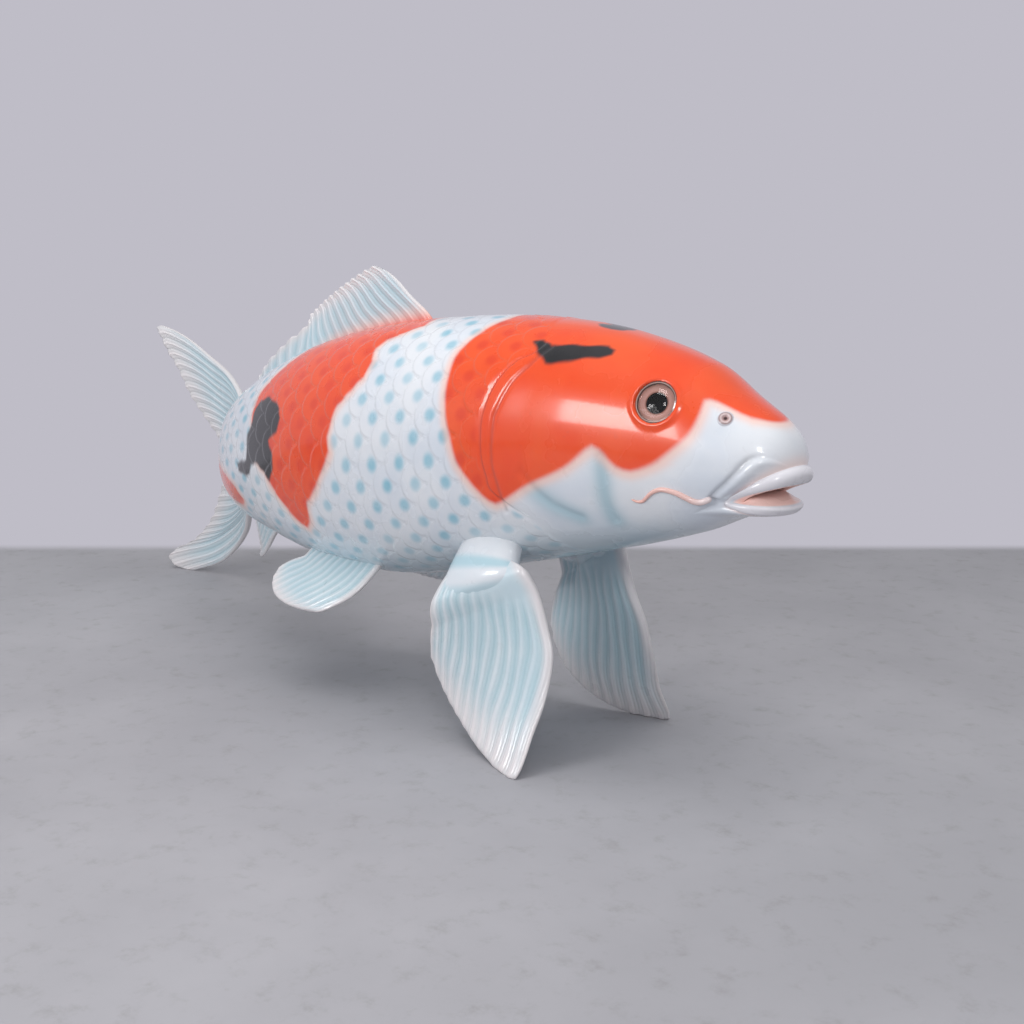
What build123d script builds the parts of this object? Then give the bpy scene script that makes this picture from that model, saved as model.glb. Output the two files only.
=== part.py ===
from build123d import *

import os
from math import cos, radians, sin

# A large koi carp figure: a hollow bent body laid up in two halves, solid cast fins, glass eyes and a
# cast mouth, carried inside by a bent steel spine tube. It stands on both breast fin tips and on the
# lower lobe of the tail. +X points forward along the shoulders, +Y to the fish's left, +Z up.

# Body, overall
body_length = 1431.0  # nose to tail root along the bent axis
body_depth = 388.7  # back to belly at the deepest section
body_width = 283.3  # across the widest section
stand_height = 434.0  # axis above the floor at the shoulders
section_fullness = 2.15  # exponent of the rounded sections, 2 is an ellipse
wall = 7.0  # laminate of the two body halves
bond_line = 0.3  # glue gap between glued pieces
seam_gap = 0.6  # between the two halves, filled and painted over
overrun = 30.0  # how far a cutting shape runs past what it cuts
crown_fin_sink = 45.0  # how far a fin's blank reaches into the body before it is trimmed

# Bend of the body in plan and the height of its axis, from nose to tail
heading_place_shares = (0.0, 0.25, 0.45, 0.6, 0.75, 0.88, 1.0)
heading_degrees = (-4.0, -0.6, 0.25, -3.9, -12.1, -31.5, -35.5)
axis_place_shares = (0.0, 0.25, 0.5, 0.75, 1.0)
axis_height_shares = (0.982, 1.0, 0.9055, 0.797, 0.6467)
axis_steps = 240

# Sections from the mouth joint to the tail root
section_place_shares = (0.03, 0.06, 0.1, 0.18, 0.27, 0.38, 0.5, 0.62, 0.74, 0.86, 0.94, 1.0)
back_shares = (0.163, 0.221, 0.307, 0.382, 0.430, 0.469, 0.487, 0.448, 0.356, 0.256, 0.210, 0.220)
belly_shares = (0.130, 0.178, 0.250, 0.353, 0.433, 0.495, 0.5125, 0.4565, 0.350, 0.246, 0.207, 0.240)
half_width_shares = (0.205, 0.256, 0.312, 0.4035, 0.465, 0.5, 0.485, 0.430, 0.329, 0.218, 0.1495, 0.0985)
ring_degrees = (90, 78, 60, 40, 20, 0, -20, -40, -60, -78, -90)
slope_degrees = 0.1  # step around a section for the skin's slope

# Mouth casting and its throat cup
muzzle_length = 43.0  # from the mouth joint to the blunt front
muzzle_place_shares = (0.0, 0.42, 0.72, 0.91, 1.0)
muzzle_top_shares = (1.0, 0.95, 0.82, 0.70, 0.48)
muzzle_low_shares = (1.0, 0.90, 0.88, 0.84, 0.70)
muzzle_side_shares = (1.0, 0.88, 0.70, 0.50, 0.30)
muzzle_drop = 5.0  # axis of the front below the axis at the mouth joint
mouth_reach = 65.0  # from the corners of the mouth to the front of the upper lip
mouth_half_width = 45.0
upper_lip_round = 12.5  # radius of the upper lip roll
lower_lip_round = 10.5
corner_lip_round = 8.0
mouth_gape = 12.0  # height of the open slot between the lips
mouth_slot_length_share = 0.9  # room behind the lips
mouth_slot_width_share = 0.86
mouth_corner_behind = 34.0  # the lips part from here forward, out to both cheeks
upper_lip_set_back = 4.0  # lip roll centre behind the muzzle's blunt front
lower_lip_set_back = 13.0
lip_degrees = (-90, -68, -45, -22, 0, 22, 45, 68, 90)
mouth_drop_share = 0.0525  # mouth line below the muzzle's front, as a share of the body's depth
corner_drop = 15.0  # corners of the mouth below the front
throat_length = 84.0
throat_diameter = 26.0
throat_wall = 3.0
throat_behind = 52.0  # middle of the throat behind the muzzle's front
throat_open = 28.0  # cup's rim behind the muzzle's front

# Eyes
eye_place_share = 0.118
eye_degrees = 33.0
eye_diameter = 50.0  # outside of the ring
eye_ring_wall = 3.2
eye_ring_depth = 16.0
eye_sink = 2.5  # ring's face below the crown of the cheek
iris_thickness = 2.0
iris_set_back = 5.0
dome_rise = 9.0
nostril_place_share = 0.058
nostril_degrees = 45.0
nostril_diameter = 9.0
nostril_depth = 4.0

# Barbels, in relief on the cheeks
barbel_place_shares = (0.066, 0.079, 0.091, 0.101, 0.110, 0.118, 0.128, 0.137)
barbel_degrees = (-34, -34, -27, -21, -21, -25, -29, -28)
barbel_thickness = 6.5
barbel_round_shares = (0.50, 0.50, 0.48, 0.44, 0.40, 0.34, 0.28, 0.16)

# Back fin
dorsal_start_share = 0.451
dorsal_length = 528.0
dorsal_height = 99.0
dorsal_thickness = 8.0
dorsal_notch_share = 0.566  # where the high front lobe ends
dorsal_run_shares = (0.0, 0.087, 0.184, 0.233, 0.287, 0.45, dorsal_notch_share, 0.60, 0.72, 0.90, 1.0)
dorsal_rise_shares = (0.0, 0.406, 0.87, 1.0, 0.971, 0.797, 0.652, 0.50, 0.45, 0.31, 0.12)
dorsal_steps = 8

# Tail fin, on a plan curve that flicks back to the fish's right
tail_length = 366.0  # along the curve to the upper tip
tail_turn = 62.5  # degrees turned over the tail's length
tail_rise = 262.0  # upper tip above the axis at the tail root
tail_thickness = 9.0
tail_thin_share = 0.25  # how much thinner the sheet is at the tips
tail_steps = 10
tail_root_run = 95.0  # swollen root that fairs the body into the fin
tail_root_swell_shares = (1.0, 0.74, 0.45, 0.2)
tail_lead_shares = ((-0.06, 0.27), (0.20, 0.50), (0.398, 0.646), (0.582, 0.758), (0.80, 0.92), (0.96, 1.0))
tail_back_shares = ((1.0, 0.985), (0.94, 0.80), (0.87, 0.655), (0.78, 0.43), (0.66, 0.245), (0.54, 0.10))
tail_fork_shares = (0.40, -0.085)
tail_low_back_shares = ((0.524, -0.297), (0.644, -0.563), (0.80, -0.75), (0.95, -0.85), (0.99, -0.92))
tail_sole_shares = ((0.86, -1.0), (0.80, -1.0))
tail_low_lead_shares = ((0.555, -0.888), (0.374, -0.746), (0.155, -0.55), (0.05, -0.42), (-0.06, -0.31))

# Anal fin
anal_start_share = 0.75
anal_length = 157.0
anal_depth = 86.0
anal_thickness = 8.0
anal_run_shares = (0.0, 0.18, 0.40, 0.62, 0.70, 0.66, 0.78, 1.0)
anal_drop_shares = (0.0, 0.35, 0.72, 0.97, 1.0, 0.80, 0.42, 0.0)
anal_steps = 4

# Breast fins, the front feet of the figure
breast_place_share = 0.3
breast_root_ahead = -11.0  # of the blade's root from the axis there
breast_root_out_share = 0.445  # outwards, of the body's width
breast_root_drop_share = 0.503  # below the axis, of the body's depth
breast_tip_ahead = 112.0
breast_tip_out_share = 0.579
breast_side_step = 8.0  # left tip ahead of, and the right tip behind, the mean
breast_out_step = 11.0  # right tip out of, and the left tip inside, the mean
breast_bow_share = -0.48  # inward bow of the blade along its span
breast_twist_share = -0.232
breast_thickness = 13.0
breast_edge_thickness = 6.5
breast_span_shares = (0.0, 0.12, 0.25, 0.4, 0.55, 0.7, 0.85, 0.96, 1.04)
breast_lead_shares = (0.35, 0.326, 0.311, 0.30, 0.255, 0.185, 0.10, 0.045, 0.03)
breast_trail_shares = (-0.28, -0.44, -0.49, -0.488, -0.443, -0.36, -0.23, -0.085, -0.03)
breast_mid_thick_shares = (1.9, 1.5, 1.25, 1.05, 0.9, 0.85, 0.8, 0.75, 0.75)
shoulder_ahead = -16.0  # fleshy shoulder where the fin leaves the body
shoulder_out_share = 0.3177
shoulder_drop_share = 0.395
shoulder_half_length = 66.0
shoulder_thickness = 48.0
shoulder_inner_ahead = -20.0
shoulder_inner_out_share = 0.1765
shoulder_inner_drop_share = 0.269
shoulder_inner_half_length = 55.0
shoulder_inner_thickness = 52.0

# Belly fins
belly_fin_place_share = 0.549
belly_fin_degrees = -63.0
belly_fin_root = 175.0
belly_fin_span = 107.0
belly_fin_thickness = 8.0
belly_fin_edge_thickness = 5.0
belly_fin_droop = 35.0  # degrees below level
belly_fin_sink = 40.0
belly_fin_camber = 9.0
belly_fin_span_shares = (0.0, 0.23, 0.47, 0.70, 0.87, 0.96, 1.0)
belly_fin_rear_shares = (-0.50, -0.64, -0.74, -0.68, -0.52, -0.33, -0.13)
belly_fin_front_shares = (0.50, 0.49, 0.455, 0.37, 0.26, 0.18, 0.07)

# Joint tapes inside the seam, and plywood bulkheads
tape_thickness = 4.0
tape_degrees = 12.0  # each side of the seam
bulkhead_shares = (0.2, 0.45, 0.7)
bulkhead_names = ("front", "middle", "rear")
bulkhead_thickness = 12.0

# Steel inside
spine_diameter = 33.7
spine_wall = 3.2
spine_place_shares = (0.14, 0.35, 0.55, 0.74, 0.87, 0.95)
spine_bend = 150.0
fin_rod_diameter = 10.0
fin_rod_bend = 30.0
fin_rod_span_share = 0.2  # how far down the blade the rod ends
fin_rod_knee_share = 0.035  # ahead of the blade's root
fin_rod_foot_share = -0.09  # behind the blade's middle line
tail_rod_diameter = 8.0
tail_rod_root_share = 0.945
tail_rod_shares = ((0.05, -0.12), (0.16, -0.27), (0.28, -0.42), (0.40, -0.56))


def smooth(place, places, values):
    """Cubic through the listed values, with each slope taken between a value's two neighbours."""
    last = len(places) - 1
    low = 0
    while low < last - 1 and place > places[low + 1]:
        low += 1

    def slope(at):
        before, after = max(at - 1, 0), min(at + 1, last)
        return (values[after] - values[before]) / (places[after] - places[before])

    gap = places[low + 1] - places[low]
    part = (place - places[low]) / gap
    rise = values[low + 1] - values[low]
    start, end = slope(low) * gap, slope(low + 1) * gap
    curve = (start + end - 2 * rise) * part**3 + (3 * rise - 2 * start - end) * part**2
    return values[low] + start * part + curve


def walk(begin, heading, distance, steps):
    """Points in plan, walking backwards from begin while heading(part) gives the way ahead."""
    points = [begin]
    step = distance / steps
    for count in range(steps):
        angle = radians(heading((count + 0.5) / steps))
        points.append(points[-1] - Vector(cos(angle), sin(angle)) * step)
    return points


def between(points, part):
    """Point at a part of a walked line, which may run a little past its ends."""
    place = part * (len(points) - 1)
    low = min(max(int(place), 0), len(points) - 2)
    return points[low] + (points[low + 1] - points[low]) * (place - low)


def body_heading(share):
    return smooth(share, heading_place_shares, heading_degrees)


def tail_heading(part):
    return heading_degrees[-1] + tail_turn * part


body_walk = walk(Vector(0, 0), body_heading, body_length, axis_steps)
tail_walk = walk(body_walk[-1], tail_heading, tail_length, axis_steps)

# The origin lies on the floor under the middle of the whole figure
lip_front = upper_lip_round - upper_lip_set_back
shoulders = between(body_walk, breast_place_share)
far_left = max(point.Y for point in tail_walk) + tail_thickness / 2
breast_tip_out = body_width * breast_tip_out_share
far_right = shoulders.Y - breast_tip_out - breast_out_step
origin_shift = Vector(-(lip_front + tail_walk[-1].X) / 2, -(far_left + far_right) / 2)


def axis_point(share, run=0.0):
    """Point on the body's axis at a share of its length, or run along the tail's curve past it."""
    if run:
        plan = between(tail_walk, run / tail_length)
    else:
        plan = between(body_walk, share)
    height = smooth(share, axis_place_shares, axis_height_shares) * stand_height
    return plan + origin_shift + Vector(0, 0, height)


def ahead(degrees):
    return Vector(cos(radians(degrees)), sin(radians(degrees)))


def leftward(degrees):
    return Vector(-sin(radians(degrees)), cos(radians(degrees)))


UP = Vector(0, 0, 1)


def half_sizes(share):
    """Height above the axis, depth below it and half width of the body at a share of its length."""
    top = smooth(share, section_place_shares, back_shares) * body_depth
    low = smooth(share, section_place_shares, belly_shares) * body_depth
    side = smooth(share, section_place_shares, half_width_shares) * body_width
    return top, low, side


def power(value):
    size = abs(value) ** (2 / section_fullness)
    return size if value >= 0 else -size


def ring_point(centre, across, sizes, degrees, hold=0):
    """Point of a rounded section; across is the unit vector towards the wanted side."""
    top, low, side = sizes
    rise = power(sin(radians(degrees)))
    out = hold + (side - hold) * power(max(cos(radians(degrees)), 0))
    return centre + across * out + UP * (rise * (top if rise > 0 else low))


def half_ring(centre, across, sizes, hold=0):
    """Curve from crown to keel on one side of a section."""
    points = [ring_point(centre, across, sizes, angle, hold) for angle in ring_degrees]
    return Spline(points)


def grown(sizes, amount):
    return tuple(size + amount for size in sizes)


def on_body(share, degrees, side, depth=0):
    """Plane on the skin: origin on it, x towards the head, z outwards. side is 1 left, -1 right."""
    centre = axis_point(share)
    across = leftward(body_heading(share)) * side
    sizes = half_sizes(share)
    place = ring_point(centre, across, sizes, degrees)
    around = ring_point(centre, across, sizes, degrees + slope_degrees) - place
    step = 1 / axis_steps
    front = ring_point(
        axis_point(share - step),
        leftward(body_heading(share - step)) * side,
        half_sizes(share - step),
        degrees,
    )
    along = (front - place).normalized()
    out = along.cross(around).normalized() * side * -1
    return Plane(origin=place - out * depth, x_dir=along, z_dir=out)


def ring_loft(places, amount):
    """Closed solid of the body's sections at the given places, grown by an amount all round."""
    wires = []
    for share in places:
        centre, across = axis_point(share), leftward(body_heading(share))
        sizes = grown(half_sizes(share), amount)
        wires.append(Wire([half_ring(centre, across, sizes), half_ring(centre, -across, sizes)]))
    return Solid.make_loft(wires)


def half_shell(side):
    """One moulded half of the body, hollow, from the mouth joint to the tail root."""
    wires = []
    hold = seam_gap / 2
    for share in section_place_shares:
        centre, across = axis_point(share), leftward(body_heading(share)) * side
        outer = half_ring(centre, across, half_sizes(share), hold)
        inner = half_ring(centre, across, grown(half_sizes(share), -wall), hold)
        crown, keel = Line(inner @ 0, outer @ 0), Line(outer @ 1, inner @ 1)
        wires.append(Wire([outer, keel, inner, crown]))
    return Solid.make_loft(wires)


def seam_tape(middle, amount=0):
    """Laminated tape across the inside of the seam; middle is 90 at the crown and -90 at the keel."""
    inward = -1 if middle > 0 else 1
    wires = []
    for share in section_place_shares:
        centre, across = axis_point(share), leftward(body_heading(share))
        near = grown(half_sizes(share), amount - wall - 2 * bond_line)
        far = grown(half_sizes(share), -amount - wall - 2 * bond_line - tape_thickness)
        reach = (tape_degrees + amount) * inward
        angles = (middle + reach, middle + reach / 2)
        sides = []
        for sizes in (near, far):
            left = [ring_point(centre, across, sizes, angle) for angle in angles]
            right = [ring_point(centre, -across, sizes, angle) for angle in reversed(angles)]
            sides.append(Spline(left + [ring_point(centre, across, sizes, middle)] + right))
        closing = [Line(sides[0] @ 1, sides[1] @ 1), Line(sides[1] @ 0, sides[0] @ 0)]
        wires.append(Wire([sides[0], closing[0], sides[1], closing[1]]))
    return Solid.make_loft(wires)


def lens(base, chord, normal, front, rear, offsets, edge, middle):
    """Closed section of a fin: two arcs from its leading to its trailing edge, joined at the edges."""
    centre = (front + rear) / 2
    places = ((front, offsets[0]), (centre, offsets[1]), (rear, offsets[2]))
    arcs = []
    for side in (0.5, -0.5):
        halves = (edge * side, middle * side, edge * side)
        points = [base + chord * a + normal * (b + h) for (a, b), h in zip(places, halves)]
        arcs.append(ThreePointArc(*points))
    joins = [Line(arcs[0] @ 1, arcs[1] @ 1), Line(arcs[1] @ 0, arcs[0] @ 0)]
    return Wire([arcs[0], joins[0], arcs[1], joins[1]])


def beside_shoulders(side, forward, out_share, drop_share):
    """Point beside the axis at the breast fins; side is 1 left, -1 right."""
    aside = side * out_share * body_width
    return axis_point(breast_place_share) + Vector(forward, aside, -drop_share * body_depth)


def breast_frame(side):
    """Root, span, chord and outward normal of a breast fin's blade."""
    centre = axis_point(breast_place_share)
    floor = Vector(centre.X, centre.Y, 0)
    root = beside_shoulders(side, breast_root_ahead, breast_root_out_share, breast_root_drop_share)
    tip_ahead = breast_tip_ahead + side * breast_side_step
    tip = floor + Vector(tip_ahead, side * (breast_tip_out - side * breast_out_step), 0)
    span = tip - root
    chord = Vector(-span.Z, 0, span.X).normalized()
    normal = (span.cross(chord) * -side).normalized()
    return root, span, chord, normal


def breast_offset(run, reach, length):
    """How far the blade's middle surface stands out of its flat frame."""
    bow = breast_bow_share * run * (1 - run)
    return length * (bow + breast_twist_share * reach * (1 - run))


def breast_point(side, run, reach):
    root, span, chord, normal = breast_frame(side)
    length = span.length
    return root + span * run + chord * (reach * length) + normal * breast_offset(run, reach, length)


def breast_fin(side):
    """Blade and fleshy shoulder of one breast fin, before the body is cut away from it."""
    root, span, chord, normal = breast_frame(side)
    length = span.length
    inner = beside_shoulders(
        side, shoulder_inner_ahead, shoulder_inner_out_share, shoulder_inner_drop_share
    )
    outer = beside_shoulders(side, shoulder_ahead, shoulder_out_share, shoulder_drop_share)
    way = (outer - inner).normalized()
    level = Vector(1, 0, 0)
    face = (way.cross(level) * -side).normalized()
    flat = (0, 0, 0)
    wires = []
    for base, half, thick in (
        (inner, shoulder_inner_half_length, shoulder_inner_thickness),
        (outer, shoulder_half_length, shoulder_thickness),
    ):
        wires.append(lens(base, level, face, half, -half, flat, thick / 2, thick))
    for run, lead, trail, thick in zip(
        breast_span_shares, breast_lead_shares, breast_trail_shares, breast_mid_thick_shares
    ):
        places = (lead, (lead + trail) / 2, trail)
        offsets = [breast_offset(run, place, length) for place in places]
        edge = breast_edge_thickness * thick
        wires.append(
            lens(
                root + span * run,
                chord,
                normal,
                lead * length,
                trail * length,
                offsets,
                edge,
                breast_thickness * thick,
            )
        )
    below = -overrun
    floor_block = Box(length * 2, length * 2, -below, align=(Align.CENTER, Align.CENTER, Align.MAX))
    return Solid.make_loft(wires) - Pos(root.X, root.Y, 0) * floor_block


def belly_fin(side):
    """Blade of one belly fin: sections at steps outwards from its root on the belly."""
    root = on_body(belly_fin_place_share, belly_fin_degrees, side)
    heading = body_heading(belly_fin_place_share)
    forward = ahead(heading)
    across = leftward(heading) * side
    droop = radians(belly_fin_droop)
    outward = across * cos(droop) - UP * sin(droop)
    normal = across * sin(droop) + UP * cos(droop)
    wires = []
    sink = -belly_fin_sink / belly_fin_span
    runs = (sink,) + belly_fin_span_shares
    rears = (belly_fin_rear_shares[0],) + belly_fin_rear_shares
    fronts = (belly_fin_front_shares[0],) + belly_fin_front_shares
    for run, rear, front in zip(runs, rears, fronts):
        base = root.origin + outward * (run * belly_fin_span)
        bow = belly_fin_camber * run * run
        wires.append(
            lens(
                base,
                forward,
                normal,
                front * belly_fin_root,
                rear * belly_fin_root,
                (-bow, 0, -bow),
                belly_fin_edge_thickness,
                belly_fin_thickness,
            )
        )
    return Solid.make_loft(wires)


def sheet_along(points, headings, halves, low, high):
    """Upright sheet that follows a plan curve, with its half thickness listed along it."""
    left, right = [], []
    for point, heading, half in zip(points, headings, halves):
        level = Vector(point.X, point.Y, low)
        left.append(level + leftward(heading) * half)
        right.append(level - leftward(heading) * half)
    sides = [Spline(left), Spline(right)]
    ends = [Line(left[-1], right[-1]), Line(right[0], left[0])]
    outline = Face(Wire([sides[0], ends[0], sides[1], ends[1]]))
    return Solid.extrude(outline, UP * (high - low))


def side_prism(curves, width):
    """Prism through the figure from side to side, over an outline drawn in its side view."""
    outline = Face(Wire(curves))
    return Solid.extrude(outline.moved(Location((0, width, 0))), Vector(0, -2 * width, 0))


def side_view(point, height):
    return Vector(point.X, 0, height)


def dorsal_fin():
    """Back fin: an upright sheet along the spine, cut to its outline in side view."""
    length_share = dorsal_length / body_length
    tops = []
    for run, rise in zip(dorsal_run_shares, dorsal_rise_shares):
        share = dorsal_start_share + run * length_share
        crest = axis_point(share).Z + half_sizes(share)[0]
        tops.append(side_view(axis_point(share), crest + rise * dorsal_height))
    ends = [tops[0] - UP * crown_fin_sink, tops[-1] - UP * crown_fin_sink]
    corner = dorsal_run_shares.index(dorsal_notch_share)
    lobes = [Spline(tops[: corner + 1]), Spline(tops[corner:])]
    curves = lobes + [Line(tops[-1], ends[1]), Line(ends[1], ends[0]), Line(ends[0], tops[0])]
    steps = range(-1, dorsal_steps + 2)
    shares = [dorsal_start_share + length_share * step / dorsal_steps for step in steps]
    points = [axis_point(share) for share in shares]
    headings = [body_heading(share) for share in shares]
    halves = [dorsal_thickness / 2] * len(shares)
    high = max(top.Z for top in tops) + overrun
    sheet = sheet_along(points, headings, halves, ends[1].Z - overrun, high)
    return sheet & side_prism(curves, body_width + body_length)


def anal_fin():
    """Anal fin: an upright sheet under the tail stem."""
    length_share = anal_length / body_length
    lows = []
    for run, drop in zip(anal_run_shares, anal_drop_shares):
        share = anal_start_share + run * length_share
        keel = axis_point(share).Z - half_sizes(share)[1]
        lows.append(side_view(axis_point(share), keel - drop * anal_depth))
    tip = anal_drop_shares.index(max(anal_drop_shares))
    ends = [lows[0] + UP * crown_fin_sink, lows[-1] + UP * crown_fin_sink]
    edges = [Spline(lows[: tip + 1]), Spline(lows[tip:])]
    curves = edges + [Line(lows[-1], ends[1]), Line(ends[1], ends[0]), Line(ends[0], lows[0])]
    steps = range(-1, anal_steps + 2)
    shares = [anal_start_share + length_share * step / anal_steps for step in steps]
    points = [axis_point(share) for share in shares]
    headings = [body_heading(share) for share in shares]
    halves = [anal_thickness / 2] * len(shares)
    low = min(point.Z for point in lows) - overrun
    sheet = sheet_along(points, headings, halves, low, ends[0].Z + overrun)
    return sheet & side_prism(curves, body_width + body_length)


def tail_point(part, rise):
    """Point of the tail fin in side view; rise is of the upper lobe, or negative of the lower one."""
    root_height = axis_point(1.0).Z
    height = root_height + (rise * tail_rise if rise > 0 else rise * root_height)
    return side_view(axis_point(1.0, part * tail_length), height)


def tail_fin():
    """Forked tail: a curved upright sheet cut to its outline, with a swollen root behind the body."""
    lead = [tail_point(*pair) for pair in tail_lead_shares]
    back = [tail_point(*pair) for pair in tail_back_shares]
    fork = tail_point(*tail_fork_shares)
    low_back = [tail_point(*pair) for pair in tail_low_back_shares]
    sole = [tail_point(*pair) for pair in tail_sole_shares]
    low_lead = [tail_point(*pair) for pair in tail_low_lead_shares]
    curves = [
        Spline(lead),
        Line(lead[-1], back[0]),
        Spline(back + [fork]),
        Spline([fork] + low_back),
        Spline([low_back[-1], sole[0]], tangents=[-UP, Vector(1, 0, 0)]),
        Line(sole[0], sole[1]),
        Spline([sole[1]] + low_lead),
        Line(low_lead[-1], lead[0]),
    ]
    parts = [step / tail_steps for step in range(-1, tail_steps + 2)]
    points = [axis_point(1.0, part * tail_length or bond_line) for part in parts]
    headings = [tail_heading(part) for part in parts]
    halves = [tail_thickness / 2 * (1 - tail_thin_share * part) for part in parts]
    sheet = sheet_along(points, headings, halves, -overrun, stand_height + tail_rise)
    blade = sheet & side_prism(curves, body_width + body_length)
    wires = []
    top, low, side = half_sizes(1.0)
    steps = len(tail_root_swell_shares) - 1
    for count, swell in enumerate(tail_root_swell_shares):
        run = bond_line + tail_root_run * count / steps
        across = leftward(tail_heading(run / tail_length))
        centre = axis_point(1.0, run)
        sizes = (top, low, side * swell)
        wires.append(Wire([half_ring(centre, across, sizes), half_ring(centre, -across, sizes)]))
    return blade, Solid.make_loft(wires)


def lip_path(degrees, front_drop, set_back):
    """Centre of a lip roll; 0 degrees is its front and 90 its left corner."""
    turn = radians(degrees)
    corner = muzzle_front - ahead(heading_degrees[0]) * (mouth_reach + upper_lip_set_back)
    reach = mouth_reach + upper_lip_set_back - set_back
    side = leftward(heading_degrees[0]) * mouth_half_width * sin(turn)
    plan = corner + ahead(heading_degrees[0]) * (reach * cos(turn)) + side
    part = cos(turn)
    height = mouth_height - corner_drop * (1 - part) + front_drop * part
    return Vector(plan.X, plan.Y, height)


def lip(front_drop, set_back, thick):
    """One lip roll: circles that swell from the corners to the front."""
    wires = []
    for count, degrees in enumerate(lip_degrees):
        low, high = max(count - 1, 0), min(count + 1, len(lip_degrees) - 1)
        before = lip_path(lip_degrees[low], front_drop, set_back)
        after = lip_path(lip_degrees[high], front_drop, set_back)
        size = corner_lip_round + (thick - corner_lip_round) * cos(radians(degrees))
        plane = Plane(origin=lip_path(degrees, front_drop, set_back), z_dir=after - before, x_dir=UP)
        wires.append(Wire.make_circle(size, plane))
    return Solid.make_loft(wires)


def mouth_casting(throat):
    """Blunt muzzle with both lips and the open mouth between them."""
    start = section_place_shares[0]
    heading = body_heading(start)
    joint = axis_point(start) + ahead(heading) * bond_line
    wires = []
    shares = zip(muzzle_place_shares, muzzle_top_shares, muzzle_low_shares, muzzle_side_shares)
    for place, top, low, side in shares:
        centre = joint + ahead(heading) * (muzzle_length * place) - UP * (muzzle_drop * place)
        across = leftward(heading)
        full = half_sizes(start)
        sizes = (full[0] * top, full[1] * low, full[2] * side)
        wires.append(Wire([half_ring(centre, across, sizes), half_ring(centre, -across, sizes)]))
    muzzle = Solid.make_loft(wires)
    upper = lip(mouth_gape / 2 + upper_lip_round, upper_lip_set_back, upper_lip_round)
    lower = lip(-mouth_gape / 2 - lower_lip_round, lower_lip_set_back, lower_lip_round)
    slot_plane = Plane(
        origin=Vector(muzzle_front.X, muzzle_front.Y, mouth_height),
        x_dir=ahead(heading) + UP * (corner_drop / mouth_reach),
        z_dir=UP - ahead(heading) * (corner_drop / mouth_reach),
    )
    plan = Ellipse(mouth_reach * mouth_slot_length_share, mouth_half_width * mouth_slot_width_share)
    slot = slot_plane * Pos(-mouth_reach, 0, -mouth_gape / 2) * extrude(plan, mouth_gape)
    across = mouth_half_width * 4
    parting = Box(mouth_reach, across, mouth_gape, align=(Align.MIN, Align.CENTER, Align.CENTER))
    return (muzzle + upper + lower) - slot - slot_plane * Pos(-mouth_corner_behind) * parting - throat


def pod(grow):
    """Egg shape of the throat, stretched along the head."""
    forward = ahead(heading_degrees[0])
    middle = muzzle_front - forward * throat_behind
    centre = Vector(middle.X, middle.Y, mouth_height)
    plane = Plane(origin=centre, x_dir=forward, z_dir=leftward(heading_degrees[0]))
    oval = plane * Ellipse(throat_length / 2 + grow, throat_diameter / 2 + grow)
    upper_half = plane * Rectangle(
        throat_length * 2, throat_length, align=(Align.CENTER, Align.MIN)
    )
    return revolve(oval & upper_half, Axis(centre, forward))


def throat_cup():
    """Thin cup behind the lips, open to the front."""
    forward = ahead(heading_degrees[0])
    rim = Plane(origin=muzzle_front - forward * throat_open, z_dir=forward)
    front = rim * Box(
        throat_length * 2, throat_length * 2, throat_length, align=(Align.CENTER, Align.CENTER, Align.MIN)
    )
    return pod(-bond_line) - pod(-bond_line - throat_wall) - front


def disc(plane, diameter, low, high):
    """Round solid on a plane between two heights along its normal."""
    return plane * Pos(0, 0, low) * Cylinder(
        diameter / 2, high - low, align=(Align.CENTER, Align.CENTER, Align.MIN)
    )


def eye(side):
    """Ring, painted iris disc and clear glass dome of one eye."""
    plane = on_body(eye_place_share, eye_degrees, side, eye_sink)
    bore = eye_diameter - 2 * eye_ring_wall
    iris_top = -iris_set_back
    iris_low = iris_top - iris_thickness
    ring = disc(plane, eye_diameter, -eye_ring_depth, 0) - disc(plane, bore, iris_low - bond_line, overrun)
    iris = disc(plane, bore - 2 * bond_line, iris_low, iris_top)
    half = bore / 2 - bond_line
    flat = iris_top + bond_line
    rise = dome_rise - flat
    radius = (half * half + rise * rise) / (2 * rise)
    ball = plane * Pos(0, 0, dome_rise - radius) * Sphere(radius)
    dome = ball & disc(plane, 2 * half, flat, dome_rise + overrun)
    return ring, iris, dome


def eye_hole(side):
    plane = on_body(eye_place_share, eye_degrees, side, eye_sink)
    return disc(plane, eye_diameter + 2 * bond_line, -overrun, overrun)


def nostril_pit(side):
    plane = on_body(nostril_place_share, nostril_degrees, side)
    return disc(plane, nostril_diameter, -nostril_depth, overrun)


def barbel(side):
    """Barbel in relief: small rounds strung along the cheek, cut back to the skin."""
    planes = [on_body(*pair, side) for pair in zip(barbel_place_shares, barbel_degrees)]
    wires = []
    for count, plane in enumerate(planes):
        before, after = planes[max(count - 1, 0)], planes[min(count + 1, len(planes) - 1)]
        way = after.origin - before.origin
        across = plane.z_dir - way * (plane.z_dir.dot(way) / way.dot(way))
        size = barbel_thickness * barbel_round_shares[count]
        section = Plane(origin=plane.origin, x_dir=across, z_dir=way)
        wires.append(Wire.make_circle(size, section))
    return Solid.make_loft(wires)


def bulkhead(share, hollow):
    """Plywood rib that fills the body's hollow at a share of its length."""
    face = Plane(origin=axis_point(share), z_dir=ahead(body_heading(share)), x_dir=UP)
    return hollow & (face * Box(body_depth * 2, body_depth * 2, bulkhead_thickness))


def tube(points, bend, diameter):
    """Round bar along a bent path."""
    path = FilletPolyline(*points, radius=bend) if len(points) > 2 else Line(*points)
    start = Plane(origin=path @ 0, z_dir=path % 0)
    return sweep(start * Circle(diameter / 2), path=path)


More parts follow.
